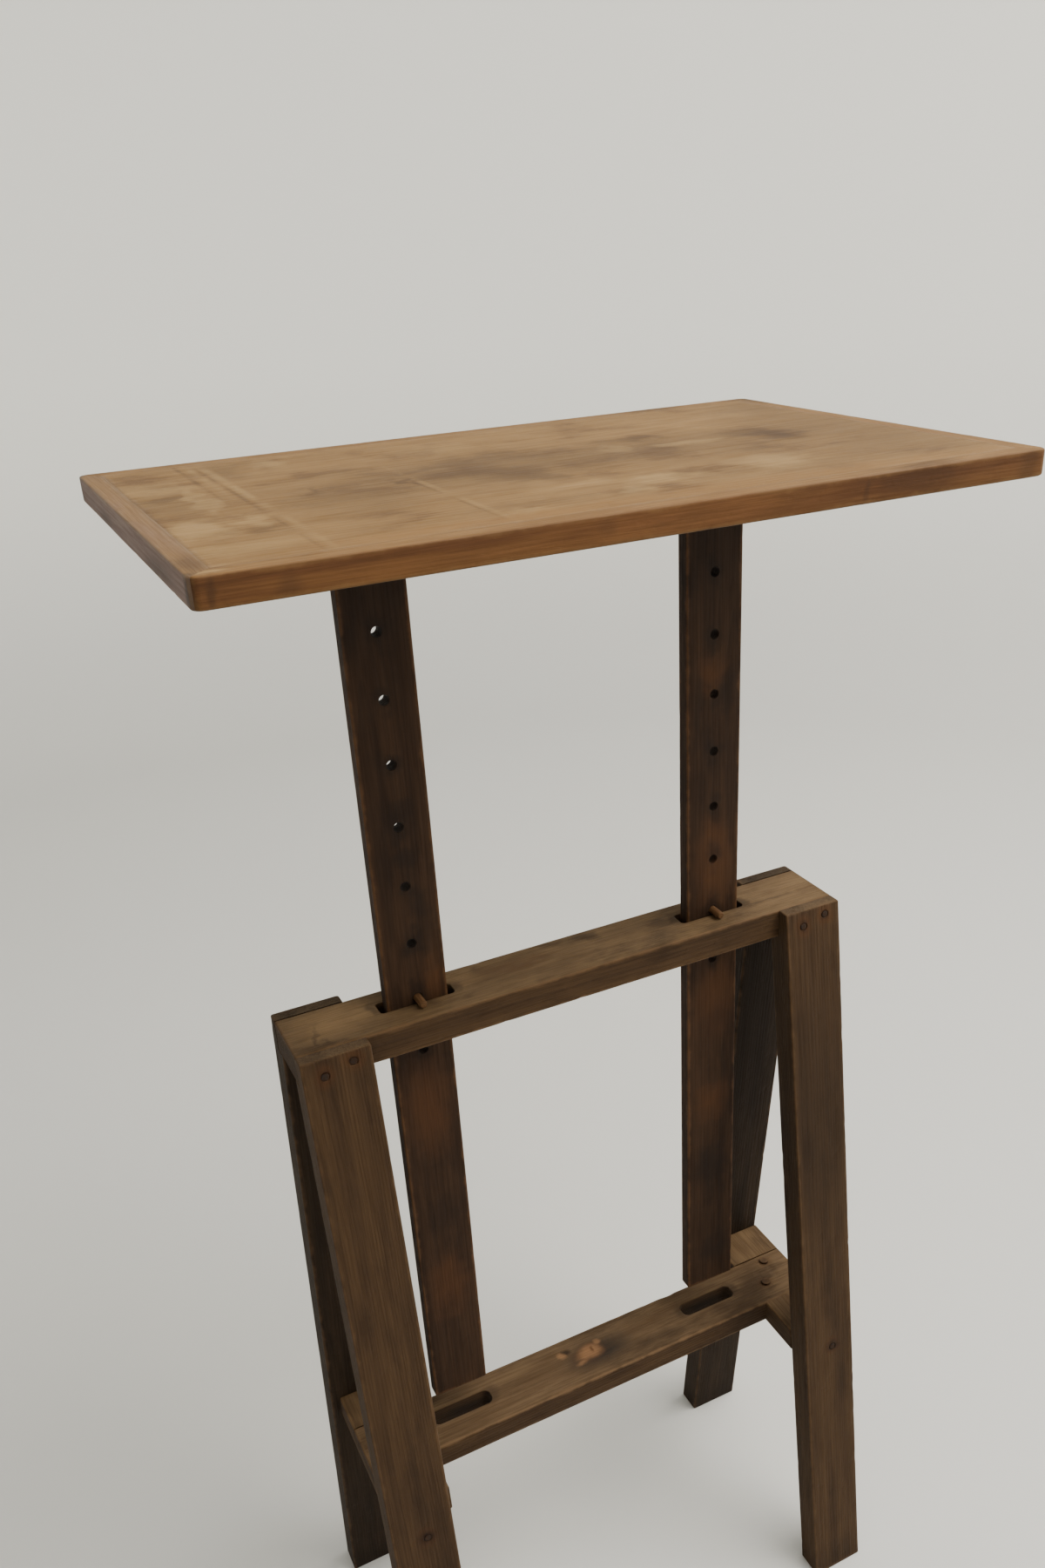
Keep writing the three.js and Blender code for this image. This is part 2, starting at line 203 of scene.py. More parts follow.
growth_group = build_growth_group()
print("growth group:", len(growth_group.nodes), "nodes")

# %% [markdown]
# ## Node groups: where a board wears
#
# Hands, pegs and floors rub a board's arrises first, and its sawn ends drink dirt. A board is
# a box, so both masks come from plain arithmetic: of a point's three distances to the box's
# faces the smallest is about nought, and the second smallest is the distance to the nearest
# arris. A third group makes one spot, which serves for a stain, a rubbed patch and a patch of
# painted shade alike: an ellipsoid with a soft rim. It gets a place that is already ragged, so
# all the spots of one board break up along its grain alike.

# %% Group: arrises and ends
def build_edges_group():
    tree, given, out = new_group(
        "board_edges",
        [("Place", "Vector", (0, 0, 0)), ("Half Size", "Vector", (1, 1, 1)), ("Width", "Float", 0.004)],
        ["Arris", "End"])
    place = given.outputs["Place"]
    inside = vector(tree, "SUBTRACT", given.outputs["Half Size"], vector(tree, "ABSOLUTE", place))
    parts = add(tree, "ShaderNodeSeparateXYZ", {0: inside})
    x, y, z = parts.outputs
    least = maths(tree, "MINIMUM", maths(tree, "MINIMUM", x, y), z)
    most = maths(tree, "MAXIMUM", maths(tree, "MAXIMUM", x, y), z)
    total = maths(tree, "ADD", maths(tree, "ADD", x, y), z)
    nearest = maths(tree, "SUBTRACT", maths(tree, "SUBTRACT", total, least), most)
    rough = maths(tree, "SUBTRACT", cloud(tree, place, 55, 4), 0.5)
    width = given.outputs["Width"]
    ragged = maths(tree, "ADD", maths(tree, "DIVIDE", nearest, width), maths(tree, "MULTIPLY", rough, 2.2))
    tree.links.new(ease(tree, ragged, 1.0, 0.0), out.inputs["Arris"])
    tree.links.new(ease(tree, x, 0.003, 0.0005), out.inputs["End"])
    return tree


edges_group = build_edges_group()
print("edges group:", len(edges_group.nodes), "nodes")

# %% Group: one spot, for stains, rubbed patches and painted shade
def build_spot_group():
    tree, given, out = new_group(
        "spot",
        [("Place", "Vector", (0, 0, 0)), ("Centre", "Vector", (0, 0, 0)),
         ("Reach", "Vector", (0.02, 0.02, 0.02))],
        ["Mask"])
    away = vector(tree, "SUBTRACT", given.outputs["Place"], given.outputs["Centre"])
    share = vector(tree, "LENGTH", vector(tree, "DIVIDE", away, given.outputs["Reach"]))
    tree.links.new(ease(tree, share, 1.25, 0.25), out.inputs["Mask"])
    return tree


spot_group = build_spot_group()
print("spot group:", len(spot_group.nodes), "nodes")

# %% [markdown]
# ## A finish for one board
#
# Each board came from its own plank and has had its own accidents, so each gets its own
# material from one recipe. The recipe lays colours over each other in order: pale fibre, darker
# streaks, dark summer wood, a paler tone on its upper side that is dust and also a painted sheen
# of light from above, stains, rubbed spots and patches of painted shade at named places, then
# worn arrises and dirty ends. Roughness and bump come from the same masks, so that what looks
# rubbed also feels smooth.

# %% The recipe
def board_place(tree, centre, turn):
    """The place in the board's own axes: origin at its middle, X along the grain."""
    place = add(tree, "ShaderNodeTexCoord").outputs["Object"]
    inputs = {"Vector": place, "Location": centre, "Rotation": turn}
    return place, add(tree, "ShaderNodeMapping", inputs, vector_type="TEXTURE").outputs[0]


def grouped(tree, group, **inputs):
    """One use of a shader group, with its inputs by name."""
    node = tree.nodes.new("ShaderNodeGroup")
    node.node_tree = group
    for label, value in inputs.items():
        socket = node.inputs[label.replace("_", " ")]
        if isinstance(value, bpy.types.NodeSocket):
            tree.links.new(value, socket)
        else:
            socket.default_value = value
    return node.outputs


def wood(name, centre, size, turn, tones, pith, spots=(), lines=(), upper=None, worn=None,
         ring_width=0.003, waviness=0.012, ragged=(0.05, 0.012, 0.012), rings=0.45, roughness=0.74,
         blotch=0.35, patch=(7, 22, 22), relief=0.35, cover=(0.45, 0.9)):
    """A board's material. tones are its pale, middle and dark wood; spots are stains, rubbed patches
    and patches of painted shade, each a centre, a reach, a colour and a strength, in the frame's axes;
    lines are spots with straight edges; upper is dust on what faces up and also a painted sheen of
    light from above, as much as cover says; worn is what shows along its arrises."""
    material = bpy.data.materials.new(name)
    material.use_nodes = True
    tree = material.node_tree
    shader = tree.nodes["Principled BSDF"]
    shader.inputs["Specular IOR Level"].default_value = 0.14
    place, own = board_place(tree, centre, turn)
    pale, middle, dark = tones
    figure = grouped(tree, growth_group, Place=own, Pith=pith, Ring_Width=ring_width, Waviness=waviness)
    edges = grouped(tree, edges_group, Place=own, Half_Size=Vector(size) / 2)

    colour = mix(tree, figure["Streaks"], pale, middle)
    colour = mix(tree, maths(tree, "MULTIPLY", figure["Rings"], rings), colour, dark)

    # Faces that look up take the upper tone: dust, and with it a painted sheen of light from above.
    if upper:
        facing = add(tree, "ShaderNodeSeparateXYZ", {0: add(tree, "ShaderNodeNewGeometry").outputs["Normal"]})
        dust_and_sheen = cloud(tree, vector(tree, "MULTIPLY", own, (12, 45, 45)), 1.0, 4)
        dust_and_sheen = ease(tree, dust_and_sheen, 0.25, 0.7, *cover)
        dust_and_sheen = maths(tree, "MULTIPLY", ease(tree, facing.outputs[2], 0.5, 0.95), dust_and_sheen)
        colour = mix(tree, dust_and_sheen, colour, upper)
    colour = mix(tree, maths(tree, "MULTIPLY", figure["Fibres"], 0.3), colour, dark)
    drift = cloud(tree, vector(tree, "MULTIPLY", own, patch), 1.0, 5, 0.6)
    colour = mix(tree, ease(tree, drift, 0.5, 0.7, 0.0, blotch), colour, dark)
    colour = mix(tree, ease(tree, drift, 0.48, 0.3, 0.0, blotch * 0.8), colour, pale)

    jitter = add(tree, "ShaderNodeTexNoise", {"Vector": place, "Scale": 42.0, "Detail": 4.0}).outputs["Color"]
    jitter = vector(tree, "MULTIPLY", vector(tree, "SUBTRACT", jitter, (0.5, 0.5, 0.5)), ragged)
    broken = vector(tree, "ADD", place, jitter)
    fleck = ease(tree, figure["Fibres"], 0.0, 1.0, 1.0, 0.75)
    gaps = ease(tree, cloud(tree, place, 24, 3), 0.35, 0.6)
    for at, thinned, group in ((broken, fleck, spots), (place, gaps, lines)):
        for spot_centre, reach, spot_colour, strength in group:
            mask = grouped(tree, spot_group, Place=at, Centre=spot_centre, Reach=reach)["Mask"]
            mask = maths(tree, "MULTIPLY", maths(tree, "MULTIPLY", mask, thinned), strength)
            colour = mix(tree, mask, colour, spot_colour)

    if worn:
        colour = mix(tree, maths(tree, "MULTIPLY", edges["Arris"], 0.6), colour, worn)
    colour = mix(tree, maths(tree, "MULTIPLY", edges["End"], 0.3), colour, dark)
    tree.links.new(colour, shader.inputs["Base Color"])

    gloss = maths(tree, "MULTIPLY_ADD", figure["Fibres"], 0.12, roughness)
    gloss = maths(tree, "SUBTRACT", gloss, maths(tree, "MULTIPLY", edges["Arris"], 0.1))
    tree.links.new(gloss, shader.inputs["Roughness"])

    grooves = maths(tree, "ADD", maths(tree, "MULTIPLY", figure["Fibres"], 0.6), figure["Rings"])
    dents = ease(tree, cloud(tree, vector(tree, "MULTIPLY", own, (40, 75, 75)), 1.0, 3), 0.25, 0.45)
    height = maths(tree, "SUBTRACT", maths(tree, "MULTIPLY", dents, 1.4), grooves)
    bump = add(tree, "ShaderNodeBump", {"Strength": relief, "Distance": 0.0006, "Height": height})
    tree.links.new(bump.outputs[0], shader.inputs["Normal"])
    return material


print("one recipe for every board")

# %% [markdown]
# ## Shaping a worn board
#
# A cube with a bevel gives a perfect board, and perfect boards look new. This builder lays
# rings of points along the board, with three facets round each arris, and pushes the points of
# the arrises inwards by a slow noise for rubbing and a quick one for knocks. Everything moves
# inwards, so a board never outgrows the solid that it stands for. The board is made lying along
# X, and a function then sets each point in its place. A slanted leg needs nothing more: its
# placing function leans the upright board over and leaves head and foot level.

# %% Skins
def as_object(name, shape):
    """A scene object from a bmesh, which is used up."""
    mesh = bpy.data.meshes.new(name)
    shape.to_mesh(mesh)
    shape.free()
    made = bpy.data.objects.new(name, mesh)
    bpy.context.scene.collection.objects.link(made)
    return made


def skinned(name, shape, rings, weld=0.0):
    """A closed body: a skin from ring to ring of points, and a lid on the first and the last."""
    for first, second in zip(rings, rings[1:]):
        for k in range(len(first)):
            shape.faces.new((first[k - 1], first[k], second[k], second[k - 1]))
    shape.faces.new(rings[0])
    shape.faces.new(reversed(rings[-1]))
    if weld:
        bmesh.ops.remove_doubles(shape, verts=shape.verts, dist=weld)
    bmesh.ops.recalc_face_normals(shape, faces=shape.faces)
    return as_object(name, shape)


# %% Board builder
def section(width, thickness, rounding):
    """Points round a board's section, each with its share of the wear: 1 on an arris, 0 on a face."""
    points = []
    shoulder = 2.5 * rounding
    for turn, (sy, sz) in enumerate(((1, 1), (-1, 1), (-1, -1), (1, -1))):
        y, z = sy * (width / 2 - rounding), sz * (thickness / 2 - rounding)
        start = turn * math.pi / 2
        arc = []
        for k, share in enumerate((0.6, 1, 1, 0.6)):
            angle = start + k * math.pi / 6
            arc.append((y + rounding * math.cos(angle), z + rounding * math.sin(angle), share))
        (first_y, first_z, _), (last_y, last_z, _) = arc[0], arc[3]
        if turn % 2 == 0:
            before = (first_y, first_z - sz * shoulder, 0)
            after = (last_y - sy * shoulder, last_z, 0)
        else:
            before = (first_y - sy * shoulder, first_z, 0)
            after = (last_y, last_z - sz * shoulder, 0)
        points += [before, *arc, after]
    return points


def wear_at(point, seed, amount):
    """How far a point on an arris is worn in."""
    slow = 0.5 + 0.5 * noise.noise(point * 11 + Vector((seed * 7.3, 0, 0)))
    quick = max(0.0, noise.noise(point * 60 + Vector((0, seed * 3.1, 0))) - 0.3)
    return amount * (0.5 * slow + 1.8 * quick)


def board(name, size, place, rounding=0.0016, step=0.007, wear=0.0009, seed=1):
    """A closed, worn board of that length, width and thickness; place carries each point to the frame."""
    length, width, thickness = size
    half = length / 2
    stations = [(-half + rounding * (1 - math.cos(a)), rounding * (1 - math.sin(a)))
                for a in (0, math.pi / 6, math.pi / 3, math.pi / 2)]
    stations.append((-half + 3 * rounding, 0.0))
    count = max(1, round((length - 6 * rounding) / step))
    stations += [(-half + 3 * rounding + (length - 6 * rounding) * k / count, 0.0) for k in range(1, count)]
    stations += [(-x, inset) for x, inset in reversed(stations[:5])]
    outline = section(width, thickness, rounding)
    shape = bmesh.new()
    rings = []
    for x, inset in stations:
        near_end = max(0.0, 1 - (half - abs(x)) / (3 * rounding))
        ring = []
        for y, z, share in outline:
            inner_y = y - math.copysign(min(inset, abs(y)), y)
            inner_z = z - math.copysign(min(inset, abs(z)), z)
            point = Vector((x, inner_y, inner_z))
            worn = wear_at(point, seed, wear) * max(share, near_end * 0.8)
            outwards = Vector((math.copysign(near_end, x), math.copysign(1, y), math.copysign(1, z)))
            ring.append(shape.verts.new(place(point - outwards.normalized() * worn)))
        rings.append(ring)
    for first, second in zip(rings, rings[1:]):
        for k in range(len(outline)):
            shape.faces.new((first[k], first[k - 1], second[k - 1], second[k]))
    shape.faces.new(rings[0])
    shape.faces.new(reversed(rings[-1]))
    bmesh.ops.recalc_face_normals(shape, faces=shape.faces)
    return as_object(name, shape)


print("a board's section has", len(section(0.07, 0.03, 0.0016)), "points")

# %% [markdown]
# ## Cutting holes
#
# Mortises, slots and bores are cut with the Boolean modifier. A straight cutter leaves a razor
# edge that no used hole has, so each cutter flares at the board's two faces by a quarter circle,
# and the cut comes out with an eased rim. One function makes every cutter, because a round hole
# is a rounded rectangle whose corners have met. A finished board is baked to a plain mesh, and
# its normals are weighted by face size, so that the flat faces stay flat beside the rims.

# %% Cutters
def ring_outline(length, width, radius, grow, steps=6):
    """A rectangle with round corners, made larger by grow all round."""
    radius_now = max(radius + grow, 0.0001)
    x, y = length / 2 - radius, width / 2 - radius
    points = []
    for turn, (sx, sy) in enumerate(((1, 1), (-1, 1), (-1, -1), (1, -1))):
        for k in range(steps + 1):
            angle = (turn + k / steps) * math.pi / 2
            points.append((sx * x + radius_now * math.cos(angle), sy * y + radius_now * math.sin(angle)))
    return points


def cutter(length, width, radius, depth, rim=0.0015, beyond=0.004, blind=False):
    """A cutting body round Z for a board that lies from z = -depth to 0, flared at its faces."""
    steps = [0.0, 0.13, 0.5, 1.0]
    upper = [(-rim * s, rim - math.sqrt(max(0.0, rim ** 2 - (rim - rim * s) ** 2))) for s in steps]
    levels = [(beyond, rim), *upper]
    levels += [(-depth, 0.0)] if blind else [(-depth - z, grow) for z, grow in reversed(levels)]
    shape = bmesh.new()
    rings = [[shape.verts.new((x, y, z)) for x, y in ring_outline(length, width, radius, grow)]
             for z, grow in levels]
    return skinned("cutter", shape, rings, weld=1e-6)


def moved(tool, matrix):
    """The tool with its place taken into its mesh."""
    tool.data.transform(matrix)
    return tool


def bake(piece):
    """Turns a piece with modifiers into a plain mesh."""
    bpy.context.view_layer.update()
    evaluated = piece.evaluated_get(bpy.context.evaluated_depsgraph_get())
    made = bpy.data.meshes.new_from_object(evaluated, depsgraph=bpy.context.evaluated_depsgraph_get())
    made.name = piece.name
    piece.modifiers.clear()
    piece.data = made
    return piece


def cut(piece, tools, operation="DIFFERENCE"):
    """Cuts the tools out of a piece, or keeps what it shares with them, and discards them."""
    for tool in tools:
        boolean = piece.modifiers.new("cut", "BOOLEAN")
        boolean.operation = operation
        boolean.solver = "EXACT"
        boolean.object = tool
    bake(piece)
    for tool in tools:
        bpy.data.objects.remove(tool)
    return piece


def finish_board(piece, material, body, slot, *nodes):
    """Smooth shading with crisp arrises, the material, and the solids that the piece stands for."""
    piece.data.shade_smooth()
    piece.data.set_sharp_from_angle(angle=math.radians(50))
    weighted = piece.modifiers.new("flat faces", "WEIGHTED_NORMAL")
    weighted.keep_sharp = True
    bake(piece)
    piece.data.materials.clear()
    piece.data.materials.append(material)
    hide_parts(*nodes)
    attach(piece, body)
    return piece


print("a hole's rim is eased by", 0.0015 * 1000, "mm")

# %% [markdown]
# ## Geometry Nodes for what repeats
#
# Eight peg holes in a column, sixteen nails and eight screws are copies at regular or given
# places. Loops could place them, but a Geometry Nodes tree states the rule once; its result is
# baked to a plain mesh.
# The first tree sets copies of a tool in a straight column. The second sets a fastening on each
# point of a mesh, turned to the direction stored on that point, spun by a seeded
# random angle so that no two heads look alike.

# %% Tree: a column of copies
def geometry_tree(name, inputs):
    """An empty Geometry Nodes tree with named inputs."""
    tree = bpy.data.node_groups.new(name, "GeometryNodeTree")
    tree.interface.new_socket("Geometry", in_out="INPUT", socket_type="NodeSocketGeometry")
    for label, kind in inputs:
        tree.interface.new_socket(label, in_out="INPUT", socket_type="NodeSocket" + kind)
    tree.interface.new_socket("Geometry", in_out="OUTPUT", socket_type="NodeSocketGeometry")
    return tree, tree.nodes.new("NodeGroupInput").outputs, tree.nodes.new("NodeGroupOutput").inputs


def copies_of(tree, tool):
    """The mesh of the object on that socket, in its own axes."""
    info = add(tree, "GeometryNodeObjectInfo", {"Object": tool}, transform_space="ORIGINAL")
    return info.outputs["Geometry"]


def close_tree(tree, given, out, copies):
    """Ends a tree: the copies become one mesh, with the given material."""
    solid = add(tree, "GeometryNodeRealizeInstances", {"Geometry": copies})
    set_material = add(tree, "GeometryNodeSetMaterial", {
        "Geometry": solid.outputs[0], "Material": given["Material"]})
    tree.links.new(set_material.outputs[0], out["Geometry"])
    return tree


def build_column_tree():
    tree, given, out = geometry_tree("column", [
        ("Tool", "Object"), ("Count", "Int"), ("Start", "Vector"), ("Pitch", "Vector"),
        ("Material", "Material")])
    line = add(tree, "GeometryNodeMeshLine", {
        "Count": given["Count"], "Start Location": given["Start"], "Offset": given["Pitch"]})
    copies = add(tree, "GeometryNodeInstanceOnPoints", {
        "Points": line.outputs[0], "Instance": copies_of(tree, given["Tool"])})
    return close_tree(tree, given, out, copies.outputs[0])


column_tree = build_column_tree()
print("column tree:", len(column_tree.nodes), "nodes")

# %% Tree: fastenings on points
def build_fastening_tree():
    tree, given, out = geometry_tree("fastenings", [
        ("Pin", "Object"), ("Spin Seed", "Int"), ("Material", "Material")])
    outwards = add(tree, "GeometryNodeInputNamedAttribute", {"Name": "outwards"}, data_type="FLOAT_VECTOR")
    turn = add(tree, "FunctionNodeAlignRotationToVector", {"Vector": outwards.outputs[0]}, axis="Z")
    heads = add(tree, "GeometryNodeInstanceOnPoints", {
        "Points": given["Geometry"], "Instance": copies_of(tree, given["Pin"]), "Rotation": turn.outputs[0]})
    spin = add(tree, "FunctionNodeRandomValue", {"Seed": given["Spin Seed"]}, data_type="FLOAT_VECTOR")
    spin.inputs["Max"].default_value = (0, 0, math.tau)
    spin.inputs["Min"].default_value = (0, 0, 0)
    spun = add(tree, "GeometryNodeRotateInstances", {
        "Instances": heads.outputs[0], "Rotation": spin.outputs[0]})
    return close_tree(tree, given, out, spun.outputs[0])


fastening_tree = build_fastening_tree()


def grow(name, tree, mesh=None, **values):
    """An object made by a Geometry Nodes tree, baked to a plain mesh."""
    piece = bpy.data.objects.new(name, mesh or bpy.data.meshes.new(name))
    bpy.context.scene.collection.objects.link(piece)
    nodes = piece.modifiers.new("grow", "NODES")
    nodes.node_group = tree
    sockets = {item.name: item.identifier for item in tree.interface.items_tree if item.in_out == "INPUT"}
    for label, value in values.items():
        nodes[sockets[label.replace("_", " ")]] = value
    return bake(piece)


print("fastening tree:", len(fastening_tree.nodes), "nodes")

# %% [markdown]
# ## Measuring the solids
#
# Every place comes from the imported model. A board's box gives its middle and its size. A leaning
# leg fills only part of its box, so its two faces are read at a given height instead, and a
# nail's seat is found from the point of its solid that stands out furthest.

# %% Measures
GAP = 0.0003
FLAT = Euler((0, 0, 0))
SIDEWAYS = Euler((0, 0, math.pi / 2))
UPRIGHT = Matrix(((0, 1, 0), (0, 0, 1), (1, 0, 0))).to_euler()


def middle_and_size(node):
    low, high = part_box(node)
    return (low + high) / 2, high - low


def reach_at(node, height):
    """The lowest and highest y that a solid has at a height."""
    ys = [v.co.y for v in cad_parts[node].data.vertices if abs(v.co.z - height) < 0.0005]
    return min(ys), max(ys)


def seat(node, outwards, crown):
    """Where a pin's head meets the wood."""
    tip = max((v.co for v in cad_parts[node].data.vertices), key=lambda co: co.dot(outwards))
    return tip - outwards * (crown + GAP)


def along(middle, turn):
    """A placing function for a straight board: from its own axes to the frame."""
    matrix = Matrix.Translation(middle) @ turn.to_matrix().to_4x4()
    return lambda point: matrix @ point


def solid_from(name, outline, low, high):
    """A tool with that outline seen from above, between two heights."""
    shape = bmesh.new()
    rings = [[shape.verts.new((x, y, z)) for x, y in outline] for z in (low, high)]
    return skinned(name, shape, rings)


def block(low, high):
    """A box-shaped tool between two corners."""
    outline = [(low[0], low[1]), (high[0], low[1]), (high[0], high[1]), (low[0], high[1])]
    return solid_from("block", outline, low[2], high[2])


beam_middle, beam_size = middle_and_size("beam")
beam_top = beam_middle.z + beam_size.z / 2
TRESTLE_Y = beam_middle.y
POST_X = {side: middle_and_size(f"post_{side}")[0].x for side in SIDES}
print("beam", [round(s * 1000) for s in beam_size], "mm, its top at", round(beam_top * 1000))

# %% [markdown]
# ## The table top
#
# The top is a flat panel with a solid lipping mitred round it. Making five pieces that meet
# cleanly is hard if each is made alone, so one blank gets the rounded corners and the worn rim,
# and is then divided: the same rim runs on from lipping to lipping, as it does after years of
# use. A hair of air at each joint lets dirt and shadow draw the joint line.

# %% The blank
TOP_NODES = ["top_panel", "lipping_front", "lipping_right", "lipping_back", "lipping_left"]
corners = [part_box(node) for node in TOP_NODES]
top_low = Vector([min(low[i] for low, _ in corners) for i in range(3)])
top_high = Vector([max(high[i] for _, high in corners) for i in range(3)])
top_size = top_high - top_low
LIPPING, SEAM = 0.018, 0.00008


def spaced(points, step):
    """A closed outline with extra points, so that none is further than a step from the next."""
    result = []
    for k, (x, y) in enumerate(points):
        to_x, to_y = points[(k + 1) % len(points)]
        parts = max(1, round(math.hypot(to_x - x, to_y - y) / step))
        result += [(x + (to_x - x) * i / parts, y + (to_y - y) * i / parts) for i in range(parts)]
    return result


def table_blank(rim=0.0014, corner=0.007):
    """The whole table top in one body, its rim worn and its corners rounded."""
    levels = [(0.0, -3 * rim, 0), (0.0, -rim, 0.3)]
    levels += [(rim * (1 - math.cos(a)), -rim * (1 - math.sin(a)), 1) for a in (math.pi / 6, math.pi / 3)]
    levels += [(rim, 0.0, 0.6), (3 * rim, 0.0, 0.1), (top_size.z / 2, 0.0, 0.1)]
    levels += [(top_size.z - z, inset, share) for z, inset, share in reversed(levels[:-1])]
    around = spaced(ring_outline(top_size.x, top_size.y, corner, 0.0), 0.006)
    shape = bmesh.new()
    rings = []
    for z, inset, share in levels:
        ring = []
        for x, y in around:
            shrink_x = (top_size.x / 2 + inset) / (top_size.x / 2)
            shrink_y = (top_size.y / 2 + inset) / (top_size.y / 2)
            point = Vector((x * shrink_x, y * shrink_y, top_low.z + z))
            worn = share * wear_at(point, 5, 0.0007)
            inwards = Vector((-x, -y, 0)).normalized()
            up = 1 if z < top_size.z / 2 else -1
            ring.append(shape.verts.new(point + (inwards + Vector((0, 0, up * 0.7))) * worn))
        rings.append(ring)
    return skinned("blank", shape, rings)


print("table top", [round(s * 1000) for s in top_size], "mm")

# %% [markdown]
# ### The panel's marks
#
# The panel's face is thin, quiet wood, bleached in patches and stained in others by years of
# rags, jars and wet paper. Noise alone spreads such marks evenly, which never looks used, so
# the larger ones are listed one by one: each is a centre, a reach and a strength. Two strips of its
# core show through as pale lines across the grain, where the face has sunk and been rubbed.

# %% Marks on the table
# The dark ink colour serves real ink marks, cracks and stains, and also painted shade in the mortises, the
# slots, the peg bores and on the posts' heads.
INK_AND_SHADE = tint(22, 15, 11)
STAIN, GREY_STAIN = tint(52, 35, 20), tint(63, 47, 30)
BLEACHED, HONEY = tint(138, 112, 73), tint(113, 81, 42)


def marks(colour, *rows):
    """Spots on the table's face, from rows of x, y, reach along x, reach along y and strength, in mm."""
    return [((x / 1000, y / 1000, top_high.z), (rx / 1000, ry / 1000, 0.02), colour, strength)
            for x, y, rx, ry, strength in rows]


table_marks = [
    *marks(GREY_STAIN, (-60, 5, 200, 95, 0.5), (150, 0, 150, 70, 0.4), (-240, 150, 22, 60, 0.4),
           (-310, 20, 40, 60, 0.35), (-190, -60, 60, 70, 0.35), (320, 150, 60, 60, 0.4),
           (300, -20, 90, 190, 0.4), (190, -130, 170, 80, 0.25)),
    *marks(STAIN, (-81, 3, 45, 22, 0.6), (-44, -28, 34, 44, 0.6), (-25, -66, 22, 22, 0.5),
           (-9, 62, 28, 40, 0.4), (-62, 42, 36, 36, 0.45), (122, 57, 30, 20, 0.75),
           (88, 60, 22, 14, 0.4), (231, -9, 26, 42, 0.8), (212, 18, 34, 26, 0.5),
           (-128, -8, 7, 22, 0.7), (-203, 6, 6, 20, 0.45), (-270, -112, 16, 22, 0.5),
           (-314, 46, 24, 13, 0.4), (-340, 0, 12, 90, 0.35), (-88, -153, 70, 12, 0.3),
           (181, -59, 50, 20, 0.3)),
    *marks(BLEACHED, (-309, -84, 22, 40, 0.75), (-268, -78, 14, 28, 0.65), (-287, 40, 9, 100, 0.5),
           (-312, 100, 26, 40, 0.4), (-194, 160, 20, 34, 0.45), (-50, 128, 45, 30, 0.25),
           (37, -128, 38, 20, 0.7), (6, -153, 16, 16, 0.5), (150, -124, 38, 36, 0.65),
           (146, 4, 42, 14, 0.5), (82, 18, 16, 26, 0.35), (-94, -178, 18, 14, 0.5),
           (-20, -108, 44, 14, 0.35), (-300, -160, 50, 22, 0.35)),
    *marks(HONEY, (90, -195, 330, 24, 0.5), (-160, -190, 160, 14, 0.5)),
]
core_lines = [
    *marks(BLEACHED, (-250, 150, 5, 170, 0.5), (-248, -60, 4, 200, 0.35), (-262, 140, 4, 110, 0.4),
           (-118, -70, 3.5, 170, 0.3)),
    *marks(STAIN, (-271, 130, 3, 130, 0.5), (-256, -20, 2.5, 260, 0.35), (-123, -80, 2, 150, 0.35)),
]
print(len(table_marks), "marks and", len(core_lines), "lines on the table")

# %% Panel
TABLE_TONES = (tint(123, 95, 58), tint(112, 85, 49), tint(75, 52, 29))
panel_middle, panel_size = middle_and_size("top_panel")
panel_wood = wood(
    "panel wood", panel_middle, panel_size, FLAT, TABLE_TONES, pith=(0, 0.35, -0.9), ring_width=0.006,
    waviness=0.05, spots=table_marks, lines=core_lines, ragged=(0.06, 0.035, 0.0), rings=0.2, roughness=0.6,
    blotch=0.7, patch=(14, 22, 22), relief=0.25)
inner_x, inner_y = (half - LIPPING - SEAM for half in (top_size.x / 2, top_size.y / 2))
inside = block((-inner_x, -inner_y, top_low.z - 1), (inner_x, inner_y, top_high.z + 1))
panel = cut(table_blank(), [inside], "INTERSECT")
panel.name = "table_panel"
finish_board(panel, panel_wood, "top", "panel_wood", "top_panel")
print("panel", len(panel.data.polygons), "faces")

# %% [markdown]
# ### The lippings
#
# Four strips close the panel's edges. They are cut from the blank by wedges that meet at 45
# degrees. Their outer faces kept their old varnish and are a deep warm brown; the left strip is
# painted in grey-violet tones instead, a painted reflection of the pale wall at a grazing angle.
# Their tops are rubbed as bare as the panel.

# %% Lippings
LIPPING_TONES = (tint(89, 59, 30), tint(73, 45, 22), tint(44, 25, 11))
